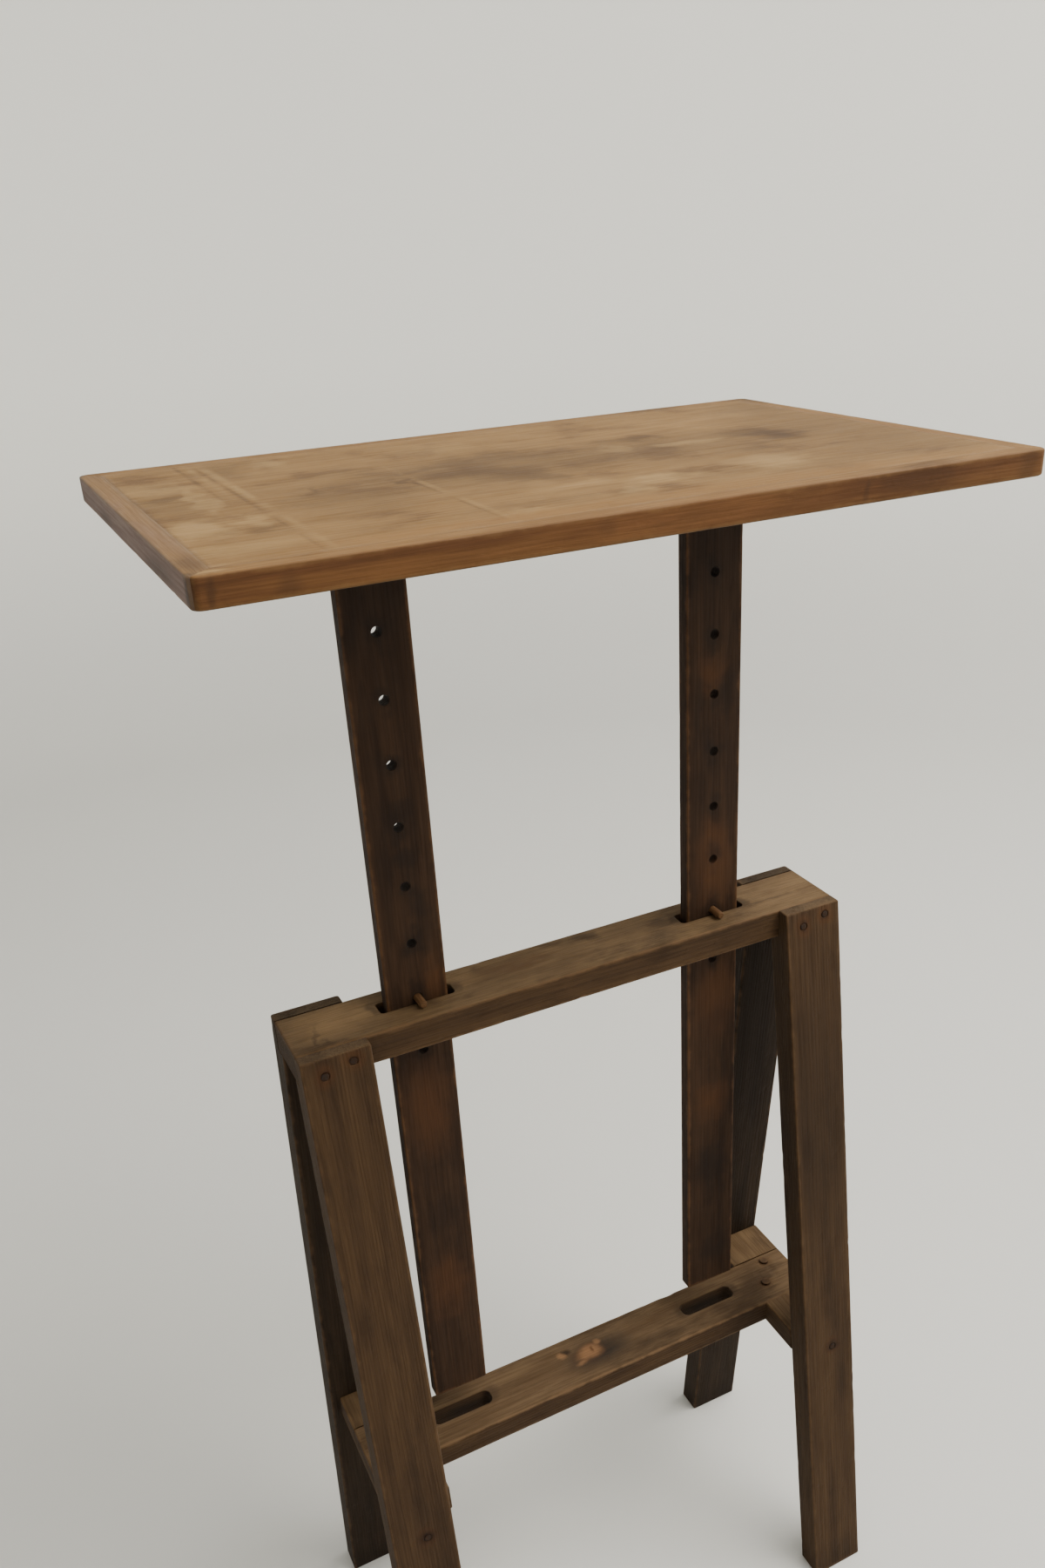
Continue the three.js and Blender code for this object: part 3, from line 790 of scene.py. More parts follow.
# Grey-violet tones for the left strip: a painted reflection of the pale wall at a grazing angle.
PAINTED_SHEEN_TONES = (tint(112, 92, 84), tint(98, 79, 72), tint(66, 53, 49))
LIPPING_SPOTS = {
    "front": [((-0.350, -0.222, 1.394), (0.005, 0.01, 0.03), INK_AND_SHADE, 0.6),
              ((-0.336, -0.222, 1.395), (0.0035, 0.01, 0.014), INK_AND_SHADE, 0.45),
              ((-0.290, -0.222, 1.390), (0.010, 0.01, 0.010), INK_AND_SHADE, 0.3),
              ((-0.060, -0.222, 1.398), (0.008, 0.01, 0.008), INK_AND_SHADE, 0.25),
              ((0.010, -0.222, 1.395), (0.13, 0.01, 0.02), tint(112, 75, 40), 0.25),
              ((0.165, -0.222, 1.393), (0.0035, 0.01, 0.012), INK_AND_SHADE, 0.35),
              ((0.330, -0.222, 1.394), (0.012, 0.01, 0.02), INK_AND_SHADE, 0.35)],
    "left": [((-0.340, -0.185, 1.406), (0.012, 0.03, 0.006), STAIN, 0.6),
             ((-0.350, -0.214, 1.392), (0.01, 0.008, 0.03), INK_AND_SHADE, 0.8),
             ((-0.350, -0.120, 1.390), (0.01, 0.05, 0.008), INK_AND_SHADE, 0.4),
             ((-0.350, 0.090, 1.390), (0.01, 0.03, 0.012), INK_AND_SHADE, 0.35),
             ((-0.350, 0.216, 1.395), (0.01, 0.008, 0.03), INK_AND_SHADE, 0.6)],
    "back": [((0.336, 0.205, 1.406), (0.03, 0.02, 0.01), STAIN, 0.5)],
    "right": [((0.345, 0.190, 1.406), (0.012, 0.03, 0.01), STAIN, 0.4)],
}
MITRE_WEDGE = [((-0.338, -0.213, 1.406), (0.016, 0.0045, 0.01), BLEACHED, 0.9)]
half_x, half_y = top_size.x / 2, top_size.y / 2
MITRE = SEAM / math.sqrt(2)


def wedge(length, reach):
    """The outline of one mitred strip on the front edge, with room outside it."""
    inner_y = -reach + LIPPING
    return [(-length - 0.01 + MITRE, -reach - 0.01), (length + 0.01 - MITRE, -reach - 0.01),
            (length - LIPPING - MITRE, inner_y), (-length + LIPPING + MITRE, inner_y)]


for k, (side, length, reach) in enumerate((("front", half_x, half_y), ("right", half_y, half_x),
                                           ("back", half_x, half_y), ("left", half_y, half_x))):
    strip = moved(solid_from("wedge", wedge(length, reach), top_low.z - 1, top_high.z + 1),
                  Matrix.Rotation(k * math.pi / 2, 4, "Z"))
    lipping = cut(table_blank(), [strip], "INTERSECT")
    lipping.name = f"table_lipping_{side}"
    middle, size = middle_and_size(f"lipping_{side}")
    turn = FLAT if k % 2 == 0 else SIDEWAYS
    extent = size if k % 2 == 0 else Vector((size.y, size.x, size.z))
    rubbed = tint(112, 85, 52) if side == "left" else tint(119, 89, 52)
    # On the left strip the grey-violet tones are a painted reflection of the pale wall.
    finish = wood(
        f"lipping wood {side}", middle, extent, turn, PAINTED_SHEEN_TONES if side == "left" else LIPPING_TONES,
        pith=(0, 0.03 + 0.01 * k, -0.05), ring_width=0.0028, rings=0.15, upper=rubbed, cover=(0.75, 1.0),
        worn=tint(101, 80, 56) if side == "left" else tint(96, 70, 40),
        spots=LIPPING_SPOTS[side], lines=MITRE_WEDGE if side == "front" else (), ragged=(0.014, 0.014, 0.010),
        roughness=0.6, blotch=0.2 if side == "left" else 0.5, relief=0.2)
    finish_board(lipping, finish, "top", "lipping_wood", f"lipping_{side}")
print("four lippings, mitred")

# %% [markdown]
# ## The posts
#
# Two flat boards carry the top. Each has a column of holes for its peg, all of one size and one
# pitch, so the column tree makes eight cutters from one. Round each hole the wood is dark with
# handling, and the same dark spot paints shade into the bore. Old stains run down from hole to
# hole, and each post's head is painted darker as shade under the table top.

# %% Posts
HOLES_BELOW_PEG, HOLE_COUNT, HOLE_PITCH = 1, 8, 0.060
HOLE_RADIUS, POST_THICKNESS = 0.0048, 0.016
POST_TONES = (tint(51, 34, 20), tint(40, 25, 13), tint(21, 12, 7))
RUBBED_POST = tint(70, 43, 22)
# Painted shade on each post's head under the table top: a place, a reach and a strength.
SHADED_TOP = ((0.0, 1.385), (0.06, 0.17), 0.6)
POST_SPOTS = {
    "left": [((0.004, 1.075), (0.012, 0.016), 0.7), ((0.010, 1.030), (0.013, 0.022), 0.6),
             ((0.006, 1.125), (0.014, 0.013), 0.6), ((0.002, 0.985), (0.010, 0.018), 0.6),
             ((-0.004, 1.175), (0.016, 0.012), 0.5), ((0.012, 1.000), (0.010, 0.030), 0.4),
             ((0.0, 0.660), (0.024, 0.030), 0.5)],
    "right": [((-0.004, 0.590), (0.026, 0.034), 0.75), ((0.006, 0.455), (0.028, 0.026), 0.6),
              ((0.016, 1.170), (0.010, 0.026), 0.6), ((-0.020, 1.150), (0.007, 0.050), 0.5),
              ((0.0, 0.790), (0.020, 0.034), 0.35)],
}
PALE_SPOTS = {
    "left": [((0.018, 0.945), (0.012, 0.030)), ((0.0, 0.560), (0.028, 0.050)), ((0.0, 0.800), (0.03, 0.070))],
    "right": [((0.0, 0.985), (0.026, 0.060)), ((-0.004, 1.190), (0.020, 0.026)),
              ((0.0, 0.680), (0.024, 0.030)), ((0.004, 0.820), (0.03, 0.060))],
}


def hole_column(side, front):
    """Cutters for one post's peg holes."""
    peg_height = middle_and_size(f"peg_{side}")[0].z
    tool = cutter(2 * HOLE_RADIUS, 2 * HOLE_RADIUS, HOLE_RADIUS, POST_THICKNESS, rim=0.0003)
    moved(tool, Matrix.Rotation(math.pi / 2, 4, "X"))
    start = Vector((POST_X[side], front, peg_height - HOLES_BELOW_PEG * HOLE_PITCH))
    up = Vector((0, 0, HOLE_PITCH))
    column = grow("holes", column_tree, Tool=tool, Count=HOLE_COUNT, Start=start, Pitch=up)
    bpy.data.objects.remove(tool)
    return column, [start + k * up for k in range(HOLE_COUNT)]


for side, sign in SIDES.items():
    middle, size = middle_and_size(f"post_{side}")
    extent = Vector((size.z, size.x, size.y))
    post = board(f"post_board_{side}", extent, along(middle, UPRIGHT), wear=0.0004, seed=11 + sign)
    holes, places = hole_column(side, middle.y - size.y / 2)
    cut(post, [holes])
    # Dark grime round each hole, which also paints shade into the bore.
    grime_and_bore_shade = [(place, (0.012, 0.02, 0.016), INK_AND_SHADE, 0.6) for place in places]
    # Stains down the post, and the painted shade on its head.
    stains_and_shade = [((middle.x + x, middle.y, z), (rx, 0.03, rz), INK_AND_SHADE, strength)
              for (x, z), (rx, rz), strength in [*POST_SPOTS[side], SHADED_TOP]]
    pale = [((middle.x + x, middle.y, z), (rx, 0.03, rz), RUBBED_POST, 0.55)
            for (x, z), (rx, rz) in PALE_SPOTS[side]]
    finish = wood(
        f"post wood {side}", middle, extent, UPRIGHT, POST_TONES, pith=(0, 0.02 * sign, -0.05),
        worn=tint(84, 57, 34), spots=pale + stains_and_shade + grime_and_bore_shade, ragged=(0.02, 0.0, 0.05),
        rings=0.35, roughness=0.7, blotch=0.6)
    finish_board(post, finish, "top", "post_wood", f"post_{side}")
    print("post", side, "has", len(places), "holes")

# %% [markdown]
# ## The pegs
#
# A peg is whittled from a stick: nearly round, with flats from the knife and a chamfer at each
# end. A cylinder primitive is too true, so the rings of points here wander a little in radius.

# %% Pegs
def whittled(name, node, sides=12, rings=18, seed=3):
    """A peg along Y in its solid's box."""
    middle, size = middle_and_size(node)
    shape = bmesh.new()
    loops = []
    for j in range(rings + 1):
        share = j / rings
        y = middle.y + size.y * (share - 0.5)
        taper = min(1.0, 0.72 + 9 * min(share, 1 - share))
        loop = []
        for k in range(sides):
            angle = math.tau * k / sides
            flat = noise.noise(Vector((math.cos(angle) * 1.4, share * 2.5, math.sin(angle) * 1.4 + seed)))
            radius = size.x / 2 * taper * (0.93 + 0.07 * max(-1.0, min(1.0, 2 * flat)))
            x, z = radius * math.cos(angle), radius * math.sin(angle)
            loop.append(shape.verts.new((middle.x + x, y, middle.z + z)))
        loops.append(loop)
    return skinned(name, shape, loops)


PEG_TONES = (tint(92, 66, 42), tint(76, 53, 31), tint(52, 34, 18))
for side, sign in SIDES.items():
    middle, size = middle_and_size(f"peg_{side}")
    extent = Vector((size.y, size.x, size.z))
    finish = wood(
        f"peg wood {side}", middle, extent, SIDEWAYS, PEG_TONES, pith=(0, 0.003, -0.01), ring_width=0.002)
    peg = whittled(f"peg_stick_{side}", f"peg_{side}", seed=3 + sign)
    finish_board(peg, finish, f"peg_{side}", "peg_wood", f"peg_{side}")
print("two pegs,", round(size.y * 1000), "mm long")

# %% [markdown]
# ## The beam
#
# The beam is a plank laid flat with a mortise for each post. Its top takes a greyer tone of dust,
# which also paints in a sheen of light from above, and is rubbed by pegs, while its edges stay
# brown. Short dark cracks run along the grain near its left end, and the mortises are painted
# dark inside and round their ends as shade in the openings.

# %% Beam
TRESTLE_TONES = (tint(63, 46, 28), tint(51, 36, 21), tint(29, 18, 9))
# A darker copy of the trestle's tones for the rear legs: painted shade.
SHADED_REAR_TONES = (tint(44, 32, 20), tint(35, 25, 15), tint(20, 13, 7))
# A greyer top tone: dust, and where the beam takes it for its upper side, also a painted sheen of light from
# above.
DUST_AND_SHEEN_TOP = tint(99, 80, 56)
RUBBED_TOP = tint(116, 93, 64)
MORTISE, MORTISE_CORNER = (0.076, 0.019), 0.004


def through(centre, top, depth, opening, corner, rim=0.0012):
    """A cutter for an upright opening through a flat board."""
    tool = cutter(*opening, corner, depth, rim)
    return moved(tool, Matrix.Translation((centre, 0, top)))


beam = board("beam_board", beam_size, along(beam_middle, FLAT), wear=0.0008, seed=21)
cut(beam, [through(x, beam_top, beam_size.z, MORTISE, MORTISE_CORNER) for x in POST_X.values()])
beam_spots = [
    ((0.029, 0.016, beam_top), (0.016, 0.010, 0.01), INK_AND_SHADE, 0.5),
    ((-0.265, -0.010, beam_top), (0.0035, 0.024, 0.01), INK_AND_SHADE, 0.75),
    ((-0.235, 0.004, beam_top), (0.020, 0.0022, 0.01), INK_AND_SHADE, 0.6),
    ((0.240, -0.012, beam_top), (0.030, 0.0020, 0.01), INK_AND_SHADE, 0.45),
    ((-0.245, 0.004, beam_top), (0.045, 0.030, 0.01), RUBBED_TOP, 0.65),
    ((-0.120, 0.010, beam_top), (0.030, 0.020, 0.01), RUBBED_TOP, 0.4),
    ((-0.060, 0.006, beam_top), (0.050, 0.016, 0.01), RUBBED_POST, 0.25),
    ((0.100, -0.020, beam_top), (0.030, 0.010, 0.01), INK_AND_SHADE, 0.25),
]
# Painted shade in each mortise: dark round its two ends and dark on its walls.
for x in POST_X.values():
    beam_spots += [((x + s * 0.040, 0, beam_top), (0.010, 0.014, 0.012), INK_AND_SHADE, 0.5) for s in (-1, 1)]
    beam_spots.append(((x, 0, beam_middle.z), (0.050, 0.020, 0.0145), INK_AND_SHADE, 0.9))
beam_wood = wood(
    "beam wood", beam_middle, beam_size, FLAT, TRESTLE_TONES, pith=(0, 0.028, -0.05), upper=DUST_AND_SHEEN_TOP,
    worn=tint(86, 63, 40), spots=beam_spots, ring_width=0.0034, rings=0.3, blotch=0.45,
    patch=(16, 30, 30), relief=0.5)
finish_board(beam, beam_wood, "trestle", "trestle_wood", "beam")
print("beam with", len(POST_X), "mortises")

# %% [markdown]
# ## The legs
#
# A leg leans, yet its head and foot are cut level. The board builder takes any placing function,
# so a leg is an upright board whose every level is slid outwards by the slope. Its head is
# housed for the beam's edge: a shoulder carries the beam and a tongue stands outside it.

# %% Legs
# The soot colour darkens nail holes and stains, and also paints shade on the right legs.
RUST, SOOT_AND_SHADE = tint(79, 43, 17), tint(17, 10, 6)
NAIL_HEAD, NAIL_CROWN = 0.0038, 0.0012
# Painted shade on the upper parts of the two right legs, under the beam: a height, a reach and a strength.
LEG_SHADE = {("front", "right"): [(0.18, 0.26, 0.45)], ("rear", "right"): [(0.30, 0.36, 0.65)]}


def outer_slope(node, sign):
    """A leg's outer face at the floor, and how far it moves in y for each metre up."""
    at_foot, at_head = (reach_at(node, height)[sign > 0] for height in (0.0, beam_top))
    return at_foot, (at_head - at_foot) / beam_top


def leaning(node, sign):
    """A leg's placing function, its thickness measured level, and the direction that its nails point."""
    middle, size = middle_and_size(node)
    at_foot, slope = outer_slope(node, sign)
    thickness = reach_at(node, 0.0)[1] - reach_at(node, 0.0)[0]
    outwards = Vector((0, sign, -sign * slope)).normalized()

    def place(point):
        height = middle.z + point.x
        return Vector((middle.x + point.y, at_foot + slope * height - sign * thickness / 2 + point.z, height))

    return place, thickness, outwards


def lean_turn(slope):
    """The turn of a leg's own axes: X up along the grain, Y across, Z through."""
    grain = Vector((0, slope, 1)).normalized()
    across = Vector((1, 0, 0))
    return Matrix((grain, across, grain.cross(across))).transposed().to_euler()


def recess(centre, outwards, radius=NAIL_HEAD + 0.0008, depth=0.0011):
    """A shallow blind cutter for a head driven a little below the face."""
    tool = cutter(2 * radius, 2 * radius, radius, depth, rim=0.0007, beyond=0.003, blind=True)
    turn = outwards.to_track_quat("Z", "Y").to_matrix().to_4x4()
    return moved(tool, Matrix.Translation(centre) @ turn)


nail_names = sorted(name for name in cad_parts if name.startswith("nail_"))
nails = {}
for end, sign in ENDS.items():
    for side in SIDES:
        outwards = leaning(f"leg_{end}_{side}", sign)[2]
        for name in nail_names:
            if name.startswith(f"nail_beam_{end}_{side}") or name == f"nail_rail_{end}_{side}":
                nails[name] = (seat(name, outwards, NAIL_CROWN), outwards)
for name in nail_names:
    if name.startswith("nail_lap"):
        nails[name] = (seat(name, Vector((0, 0, 1)), NAIL_CROWN), Vector((0, 0, 1)))


def around_nail(name, strength=1.0):
    """Rust in the wood round a nail, and the dark hole it sits in."""
    centre = nails[name][0]
    return [(centre, (0.012, 0.010, 0.014), RUST, 0.3 * strength),
            (centre, (0.0064, 0.006, 0.0068), SOOT_AND_SHADE, 0.6)]


for end, sign in ENDS.items():
    for side in SIDES:
        node = f"leg_{end}_{side}"
        middle, size = middle_and_size(node)
        place, thickness, outwards = leaning(node, sign)
        seed = 31 + sign * len(side)
        leg = board(f"leg_board_{end}_{side}", (size.z, size.x, thickness), place, wear=0.0007, seed=seed)
        own_names = (f"nail_beam_{end}_{side}", f"nail_rail_{end}_{side}")
        own_nails = [name for name in nails if name.startswith(own_names)]
        edge = sign * (beam_size.y / 2 + GAP)
        near, far = sorted((TRESTLE_Y + edge, TRESTLE_Y + edge - sign * 0.05))
        housing = block((middle.x - 0.05, near, beam_top - beam_size.z - GAP),
                        (middle.x + 0.05, far, beam_top + 0.01))
        cut(leg, [housing] + [recess(*nails[name]) for name in own_nails])
        slope = outer_slope(node, sign)[1]
        centre = place(Vector((0, 0, 0)))
        spots = [spot for name in own_nails for spot in around_nail(name)]
        for name in own_nails:
            if "rail" in name:
                spots.append((nails[name][0], (0.013, 0.012, 0.011), SOOT_AND_SHADE, 0.7))
        spots.append(((middle.x, place(Vector((-size.z / 2, 0, 0))).y, 0.0), (0.05, 0.05, 0.05), SOOT_AND_SHADE, 0.45))
        # Painted shade where the leg stands under the beam.
        for height, reach, strength in LEG_SHADE.get((end, side), []):
            spots.append((place(Vector((height, 0, 0))), (0.05, 0.06, reach), SOOT_AND_SHADE, strength))
        # The rear legs take the darker tones: painted shade.
        finish = wood(
            f"leg wood {end} {side}", centre, (size.z / math.cos(math.atan(slope)), size.x, thickness),
            lean_turn(slope), SHADED_REAR_TONES if end == "rear" else TRESTLE_TONES,
            pith=(0, 0.045 * sign, -0.02 - 0.01 * len(side)),
            upper=tint(88, 71, 50), worn=tint(73, 53, 33), spots=spots, ragged=(0.008, 0.008, 0.02),
            ring_width=0.0026, waviness=0.008, rings=0.3, blotch=0.5, relief=0.55)
        finish_board(leg, finish, "trestle", "trestle_wood", node)
        print(node, "leans", round(math.degrees(math.atan(abs(slope))), 1), "degrees, nails:", len(own_nails))

# %% [markdown]
# ## The cross rails
#
# A cross rail ties a pair of legs. Its ends are cut to their slope, which makes it a little longer
# below than above. The placing function stretches each level by its own amount, and the halving
# that holds the lower rail is then cut from its top.

# %% Cross rails
rail_low, rail_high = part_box("lower_rail")
rail_top = rail_high.z
LAP_HEIGHT = rail_top - (rail_high.z - rail_low.z) / 2


def half_length(node, height):
    low, high = reach_at(node, height)
    return (high - low) / 2


for side, sign in SIDES.items():
    node = f"cross_rail_{side}"
    middle, size = middle_and_size(node)
    top_half = half_length(node, middle.z + size.z / 2)
    foot_half = half_length(node, middle.z - size.z / 2)

    def place(point, middle=middle, size=size, top_half=top_half, foot_half=foot_half):
        share = point.z / size.z + 0.5
        stretch = (foot_half + (top_half - foot_half) * share) / foot_half
        return Vector((middle.x - point.y, middle.y + point.x * stretch, middle.z + point.z))

    extent = Vector((size.y, size.x, size.z))
    rail = board(f"cross_rail_board_{side}", extent, place, wear=0.001, seed=41 + sign)
    halving = block((middle.x - 0.05, rail_low.y - GAP, LAP_HEIGHT - GAP / 2),
                    (middle.x + 0.05, rail_high.y + GAP, rail_top + 0.01))
    cut(rail, [halving])
    dusty = [((middle.x, middle.y + s * 0.10, rail_top), (0.03, 0.04, 0.01), DUST_AND_SHEEN_TOP, 0.35) for s in (-1, 1)]
    finish = wood(
        f"cross rail wood {side}", middle, extent, SIDEWAYS, TRESTLE_TONES, pith=(0, 0.02 * sign, -0.06),
        upper=tint(91, 72, 50), worn=tint(97, 74, 49), spots=dusty, blotch=0.55, relief=0.5)
    finish_board(rail, finish, "trestle", "trestle_wood", node)
    print(node, "is", round(2000 * top_half), "mm long above and", round(2000 * foot_half), "below")

# %% [markdown]
# ## The lower rail
#
# This rail joins the cross rails and guides the posts' ends through two slots. A knot in its
# middle has been rubbed pale by shoes inside a grey stain. Its lapped ends show two nails each.

# %% Lower rail
SLOT, SLOT_CORNER = (0.072, 0.019), 0.007
cross_inside = {side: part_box(f"cross_rail_{side}")[sign < 0].x for side, sign in SIDES.items()}
rail_middle, rail_size = middle_and_size("lower_rail")
lower_rail = board("lower_rail_board", rail_size, along(rail_middle, FLAT), wear=0.0011, seed=51)
lap_from, lap_to = rail_low.z - 0.01, LAP_HEIGHT + GAP / 2
laps = [block((rail_low.x - 0.01, -0.1, lap_from), (cross_inside["left"] + GAP, 0.1, lap_to)),
        block((cross_inside["right"] - GAP, -0.1, lap_from), (rail_high.x + 0.01, 0.1, lap_to))]
slots = [through(x, rail_top, rail_size.z, SLOT, SLOT_CORNER, rim=0.0018) for x in POST_X.values()]
lap_nails = [name for name in nails if name.startswith("nail_lap")]
cut(lower_rail, laps + slots + [recess(*nails[name]) for name in lap_nails])
KNOT, KNOT_RIM = tint(126, 92, 62), tint(55, 33, 19)
rail_spots = [
    ((0.010, -0.005, rail_top), (0.048, 0.025, 0.01), tint(30, 25, 21), 0.95),
    ((0.000, -0.001, rail_top), (0.024, 0.017, 0.01), KNOT_RIM, 0.55),
    ((0.000, -0.001, rail_top), (0.019, 0.013, 0.01), KNOT, 0.8),
    ((0.016, 0.010, rail_top), (0.007, 0.005, 0.01), KNOT, 0.6),
    ((-0.014, -0.012, rail_top), (0.008, 0.004, 0.01), KNOT, 0.5),
    ((0.003, 0.001, rail_top), (0.003, 0.006, 0.01), KNOT_RIM, 0.8),
    ((-0.026, 0.014, rail_top), (0.006, 0.005, 0.01), SOOT_AND_SHADE, 0.8),
    ((-0.034, 0.010, rail_top), (0.006, 0.006, 0.01), KNOT, 0.6),
    ((0.080, -0.020, rail_top), (0.050, 0.008, 0.01), SOOT_AND_SHADE, 0.35),
    ((-0.100, 0.015, rail_top), (0.040, 0.010, 0.01), DUST_AND_SHEEN_TOP, 0.35),
]
# Painted shade in each slot: dark round its two ends and dark on its walls.
rail_spots += [((x + s * 0.036, 0, rail_top), (0.012, 0.014, 0.012), INK_AND_SHADE, 0.45)
               for x in POST_X.values() for s in (-1, 1)]
rail_spots += [((x, 0, rail_middle.z), (0.048, 0.020, 0.0135), INK_AND_SHADE, 0.9) for x in POST_X.values()]
rail_spots += [spot for name in lap_nails for spot in around_nail(name, 0.6)]
finish = wood(
    "lower rail wood", rail_middle, rail_size, FLAT, TRESTLE_TONES, pith=(0, 0.01, -0.055),
    upper=tint(89, 71, 50), worn=tint(97, 74, 50), spots=rail_spots,
    ragged=(0.02, 0.012, 0.01), blotch=0.6, relief=0.5)
finish_board(lower_rail, finish, "trestle", "trestle_wood", "lower_rail")
print("lower rail", [round(s * 1000) for s in rail_size], "mm, with", len(slots), "slots")

# %% [markdown]
# ## The bearers
#
# Under the table top, two bearers clasp the posts' heads. They never see the sun, so their wood
# keeps its reddish colour.

# %% Bearers
BEARER_TONES = (tint(96, 68, 43), tint(79, 54, 31), tint(52, 33, 19))
for end, sign in ENDS.items():
    middle, size = middle_and_size(f"bearer_{end}")
    bearer = board(f"bearer_board_{end}", size, along(middle, FLAT), wear=0.0006, seed=61 + sign)
    finish = wood(
        f"bearer wood {end}", middle, size, FLAT, BEARER_TONES, pith=(0, 0.03 * sign, -0.03), blotch=0.3)
    finish_board(bearer, finish, "top", "bearer_wood", f"bearer_{end}")
print("two bearers,", round(size.x * 1000), "mm long")

# %% [markdown]
# ## Nails and screws
#
# Sixteen iron nails hold the trestle. A hammered head is a low dome with a few flats, dark with
# rust. Eight screws hold the bearers; each has a domed head with a slot. Both come from
# the fastening tree. Its points lie on the heads' seats, and each carries the direction in which
# its head looks.

# %% Metals
def metal(name, bare, aged, roughness, metallic):
    """Iron or steel: bare metal under patches of rust or dulled film."""
    material = bpy.data.materials.new(name)
    material.use_nodes = True
    tree = material.node_tree
    shader = tree.nodes["Principled BSDF"]
    place = add(tree, "ShaderNodeTexCoord").outputs["Object"]
    patches = ease(tree, cloud(tree, place, 420, 5, 0.6), 0.38, 0.58)
    grit = cloud(tree, place, 1900, 3)
    colour = mix(tree, patches, bare, aged)
    colour = mix(tree, ease(tree, grit, 0.5, 0.75, 0.0, 0.5), colour, SOOT_AND_SHADE)
    tree.links.new(colour, shader.inputs["Base Color"])
    tree.links.new(maths(tree, "MULTIPLY_ADD", patches, 0.3, roughness), shader.inputs["Roughness"])
    tree.links.new(ease(tree, patches, 0.0, 1.0, metallic, 0.1), shader.inputs["Metallic"])
    shader.inputs["Specular IOR Level"].default_value = 0.25
    bump = add(tree, "ShaderNodeBump", {"Strength": 0.5, "Distance": 0.0002, "Height": grit})
    tree.links.new(bump.outputs[0], shader.inputs["Normal"])
    return material


nail_iron = metal("rusted nail iron", tint(30, 22, 16), tint(43, 27, 16), 0.75, 0.15)
screw_steel = metal("dulled screw steel", tint(140, 136, 128), tint(104, 92, 80), 0.38, 0.9)
print("two metals")

# %% Pins
def turned(name, profile, sides, wobble=0.0, seed=1):
    """A closed body turned round Z from (radius, height) points, its radius hammered by a wobble."""
    shape = bmesh.new()
    loops = []
    for radius, height in profile:
        loop = []
        for k in range(sides):
            angle = math.tau * k / sides
            x, y = math.cos(angle), math.sin(angle)
            dent = 1 - wobble * (0.5 + 0.5 * noise.noise(Vector((x, y, seed)) * 1.7))
            loop.append(shape.verts.new((radius * dent * x, radius * dent * y, height)))
        loops.append(loop)
    return skinned(name, shape, loops)


nail_pin = turned("nail pin", [
    (0.0006, -0.024), (0.0019, -0.018), (0.0019, -0.0009), (0.0036, -0.0007), (0.0038, -0.0002),
    (0.0036, 0.0001), (0.0026, 0.0003), (0.0010, 0.0004)], 14, wobble=0.1)
screw_pin = turned("screw pin", [
    (0.0006, -0.030), (0.0019, -0.022), (0.0019, 0.0002), (0.0040, 0.0004), (0.0039, 0.0010),
    (0.0033, 0.0018), (0.0020, 0.0023), (0.0007, 0.0024)], 20)
cut(screw_pin, [block((-0.006, -0.0005, 0.0013), (0.006, 0.0005, 0.005))])
print("a nail's head is", round(2 * NAIL_HEAD * 1000, 1), "mm wide")


# %% [markdown]
# ### Driving them in
#
# A pin per head, copied by hand, would be twenty-four near-equal objects. Each set is one mesh:
# a point for every seat goes in, and the tree sets a pin on it.

# %% Fastenings
def fastenings(name, places, pin, material, seed):
    """One mesh with a pin at every place."""
    mesh = bpy.data.meshes.new(name)
    mesh.from_pydata([centre for centre, _ in places], [], [])
    outwards = mesh.attributes.new("outwards", "FLOAT_VECTOR", "POINT")
    for value, (_, direction) in zip(outwards.data, places):
        value.vector = direction
    piece = grow(name, fastening_tree, mesh, Pin=pin, Spin_Seed=seed, Material=material)
    piece.data.shade_smooth()
    piece.data.set_sharp_from_angle(angle=math.radians(40))
    return piece


nail_set = fastenings("iron_nails", list(nails.values()), nail_pin, nail_iron, 4)
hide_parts(*nails)
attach(nail_set, "trestle")

SCREW_CROWN = 0.0022
screws = {}
for name in sorted(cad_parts):
    if name.startswith("screw_"):
        outwards = Vector((0, -1, 0)) if "post" in name else Vector((0, 0, -1))
        screws[name] = (seat(name, outwards, SCREW_CROWN), outwards)
screw_set = fastenings("bearer_screws", list(screws.values()), screw_pin, screw_steel, 9)
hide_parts(*screws)
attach(screw_set, "top")
for tool in (nail_pin, screw_pin):
    bpy.data.objects.remove(tool)
print(len(nails), "nails and", len(screws), "screws")

# %% [markdown]
# ## The studio
#
# A pale floor curves up into a pale wall all round the stand, like a photographer's cove, so that
# no corner or horizon line shows from any side. A flat backdrop would do for one camera only. The
# cove is open above, where a broad even sky lights everything.

# %% Cove
COVE_RADIUS, COVE_BEND, COVE_HEIGHT = 3.2, 1.0, 6.4


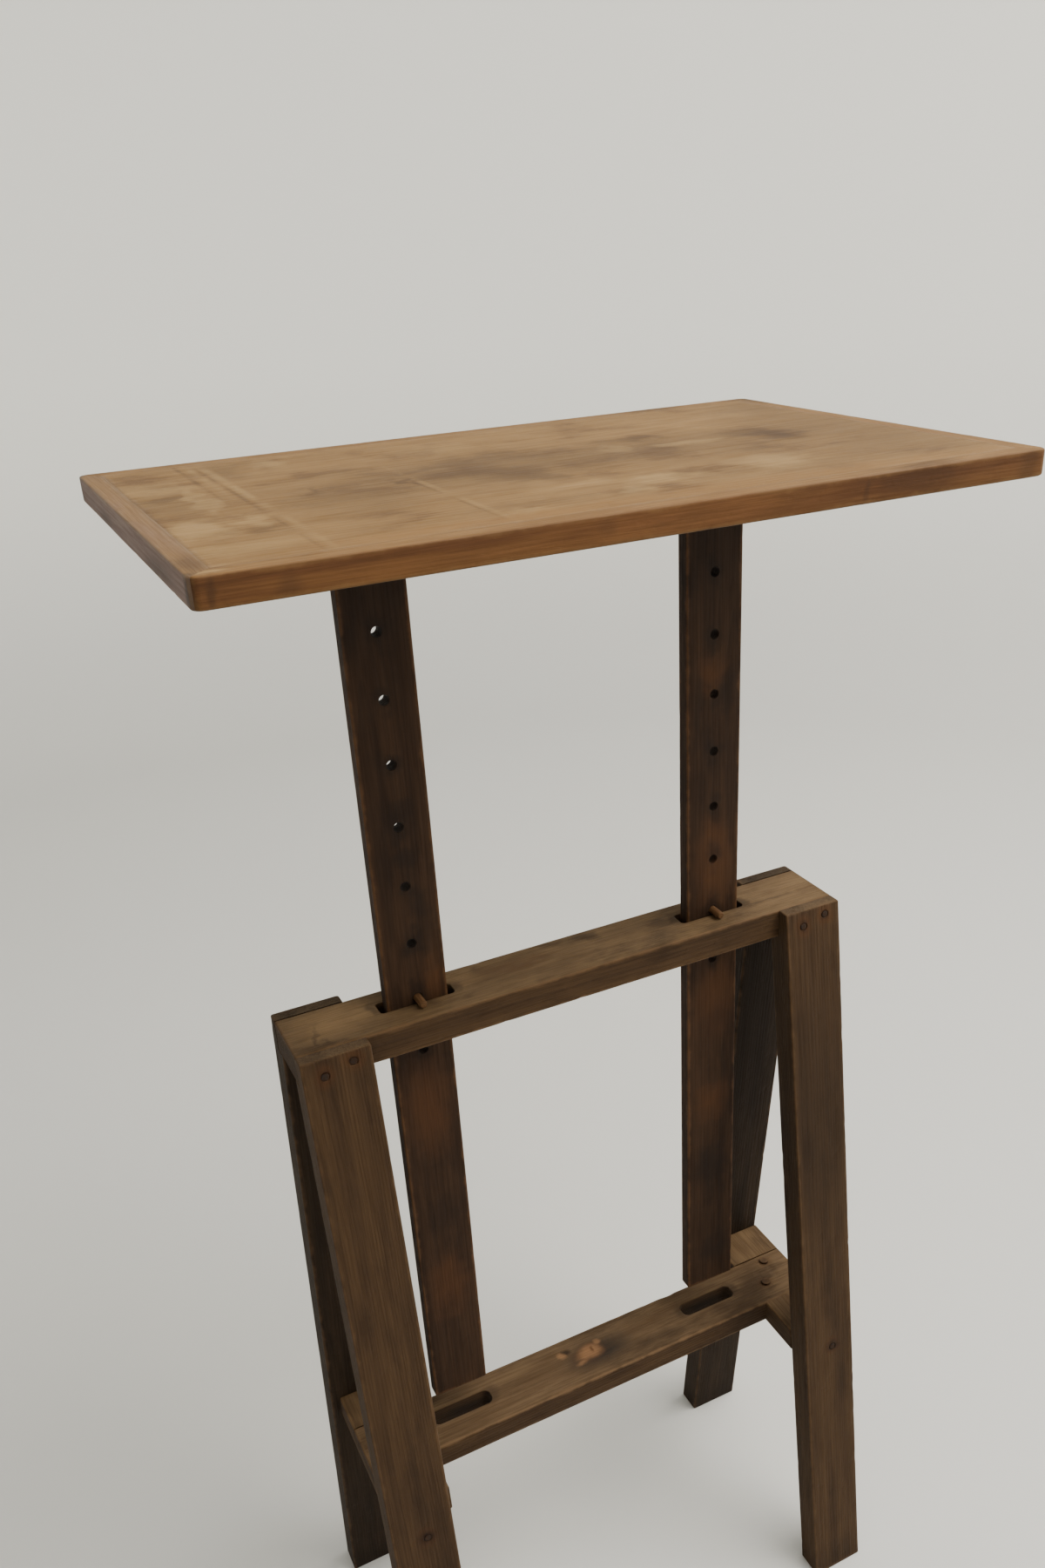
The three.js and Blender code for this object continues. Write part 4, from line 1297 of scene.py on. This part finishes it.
def cove(sides=96, quarter=12):
    """Floor and wall in one surface, turned round Z."""
    profile = [(1.2, 0.0), (COVE_RADIUS, 0.0)]
    profile += [(COVE_RADIUS + COVE_BEND * math.sin(a), COVE_BEND * (1 - math.cos(a)))
                for a in (math.pi / 2 * k / quarter for k in range(1, quarter + 1))]
    profile.append((COVE_RADIUS + COVE_BEND, COVE_HEIGHT))
    shape = bmesh.new()
    middle = shape.verts.new((0, 0, 0))
    angles = [math.tau * k / sides for k in range(sides)]
    rows = [[shape.verts.new((r * math.cos(a), r * math.sin(a), z)) for a in angles] for r, z in profile]
    for k in range(sides):
        shape.faces.new((middle, rows[0][k - 1], rows[0][k]))
    for first, second in zip(rows, rows[1:]):
        for k in range(sides):
            shape.faces.new((first[k - 1], second[k - 1], second[k], first[k]))
    made = as_object("cove", shape)
    made.data.shade_smooth()
    return made


def plaster():
    """A matt pale finish, a little darker on the floor, where shoes have been."""
    material = bpy.data.materials.new("pale plaster")
    material.use_nodes = True
    tree = material.node_tree
    shader = tree.nodes["Principled BSDF"]
    place = add(tree, "ShaderNodeTexCoord").outputs["Object"]
    height = add(tree, "ShaderNodeSeparateXYZ", {0: place}).outputs[2]
    colour = mix(tree, ease(tree, height, 0.0, 1.2), tint(190, 190, 187), tint(230, 230, 226))
    tree.links.new(colour, shader.inputs["Base Color"])
    shader.inputs["Roughness"].default_value = 0.9
    return material


floor = cove()
floor.data.materials.append(plaster())
floor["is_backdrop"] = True
print("cove", 2 * (COVE_RADIUS + COVE_BEND), "m across")

# %% [markdown]
# ### The light
#
# The sky alone would leave the stand flat. The soft box hangs level, high on the front right, so
# its light falls off evenly down the wall and its shadows are only a darkening under the boards.

# %% Light
world = bpy.data.worlds.new("overcast")
world.use_nodes = True
world.node_tree.nodes["Background"].inputs["Color"].default_value = (1.0, 0.99, 0.97, 1.0)
world.node_tree.nodes["Background"].inputs["Strength"].default_value = 0.78
bpy.context.scene.world = world

lamp_data = bpy.data.lights.new("soft box", "AREA")
lamp_data.shape = "RECTANGLE"
lamp_data.size, lamp_data.size_y = 2.8, 3.2
lamp_data.energy = 400
lamp_data.color = (1.0, 0.96, 0.9)
lamp = bpy.data.objects.new("soft box", lamp_data)
lamp.location = (2.0, -1.4, 4.6)
lamp.rotation_euler = (0, 0, math.atan2(lamp.location.y, lamp.location.x))
bpy.context.scene.collection.objects.link(lamp)
print("sky and one soft box of", lamp_data.energy, "W")

# %% [markdown]
# ## Compare the size
#
# The last step measures the finished stand's box against the imported model's and prints how far
# it grew at its high corner.

# %% Size against the imported model
visual_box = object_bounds()
growth = [round(1000 * (v - c), 2) for v, c in zip(visual_box[1], cad_box[1])]
print("box grew by", growth, "mm at its high corner")
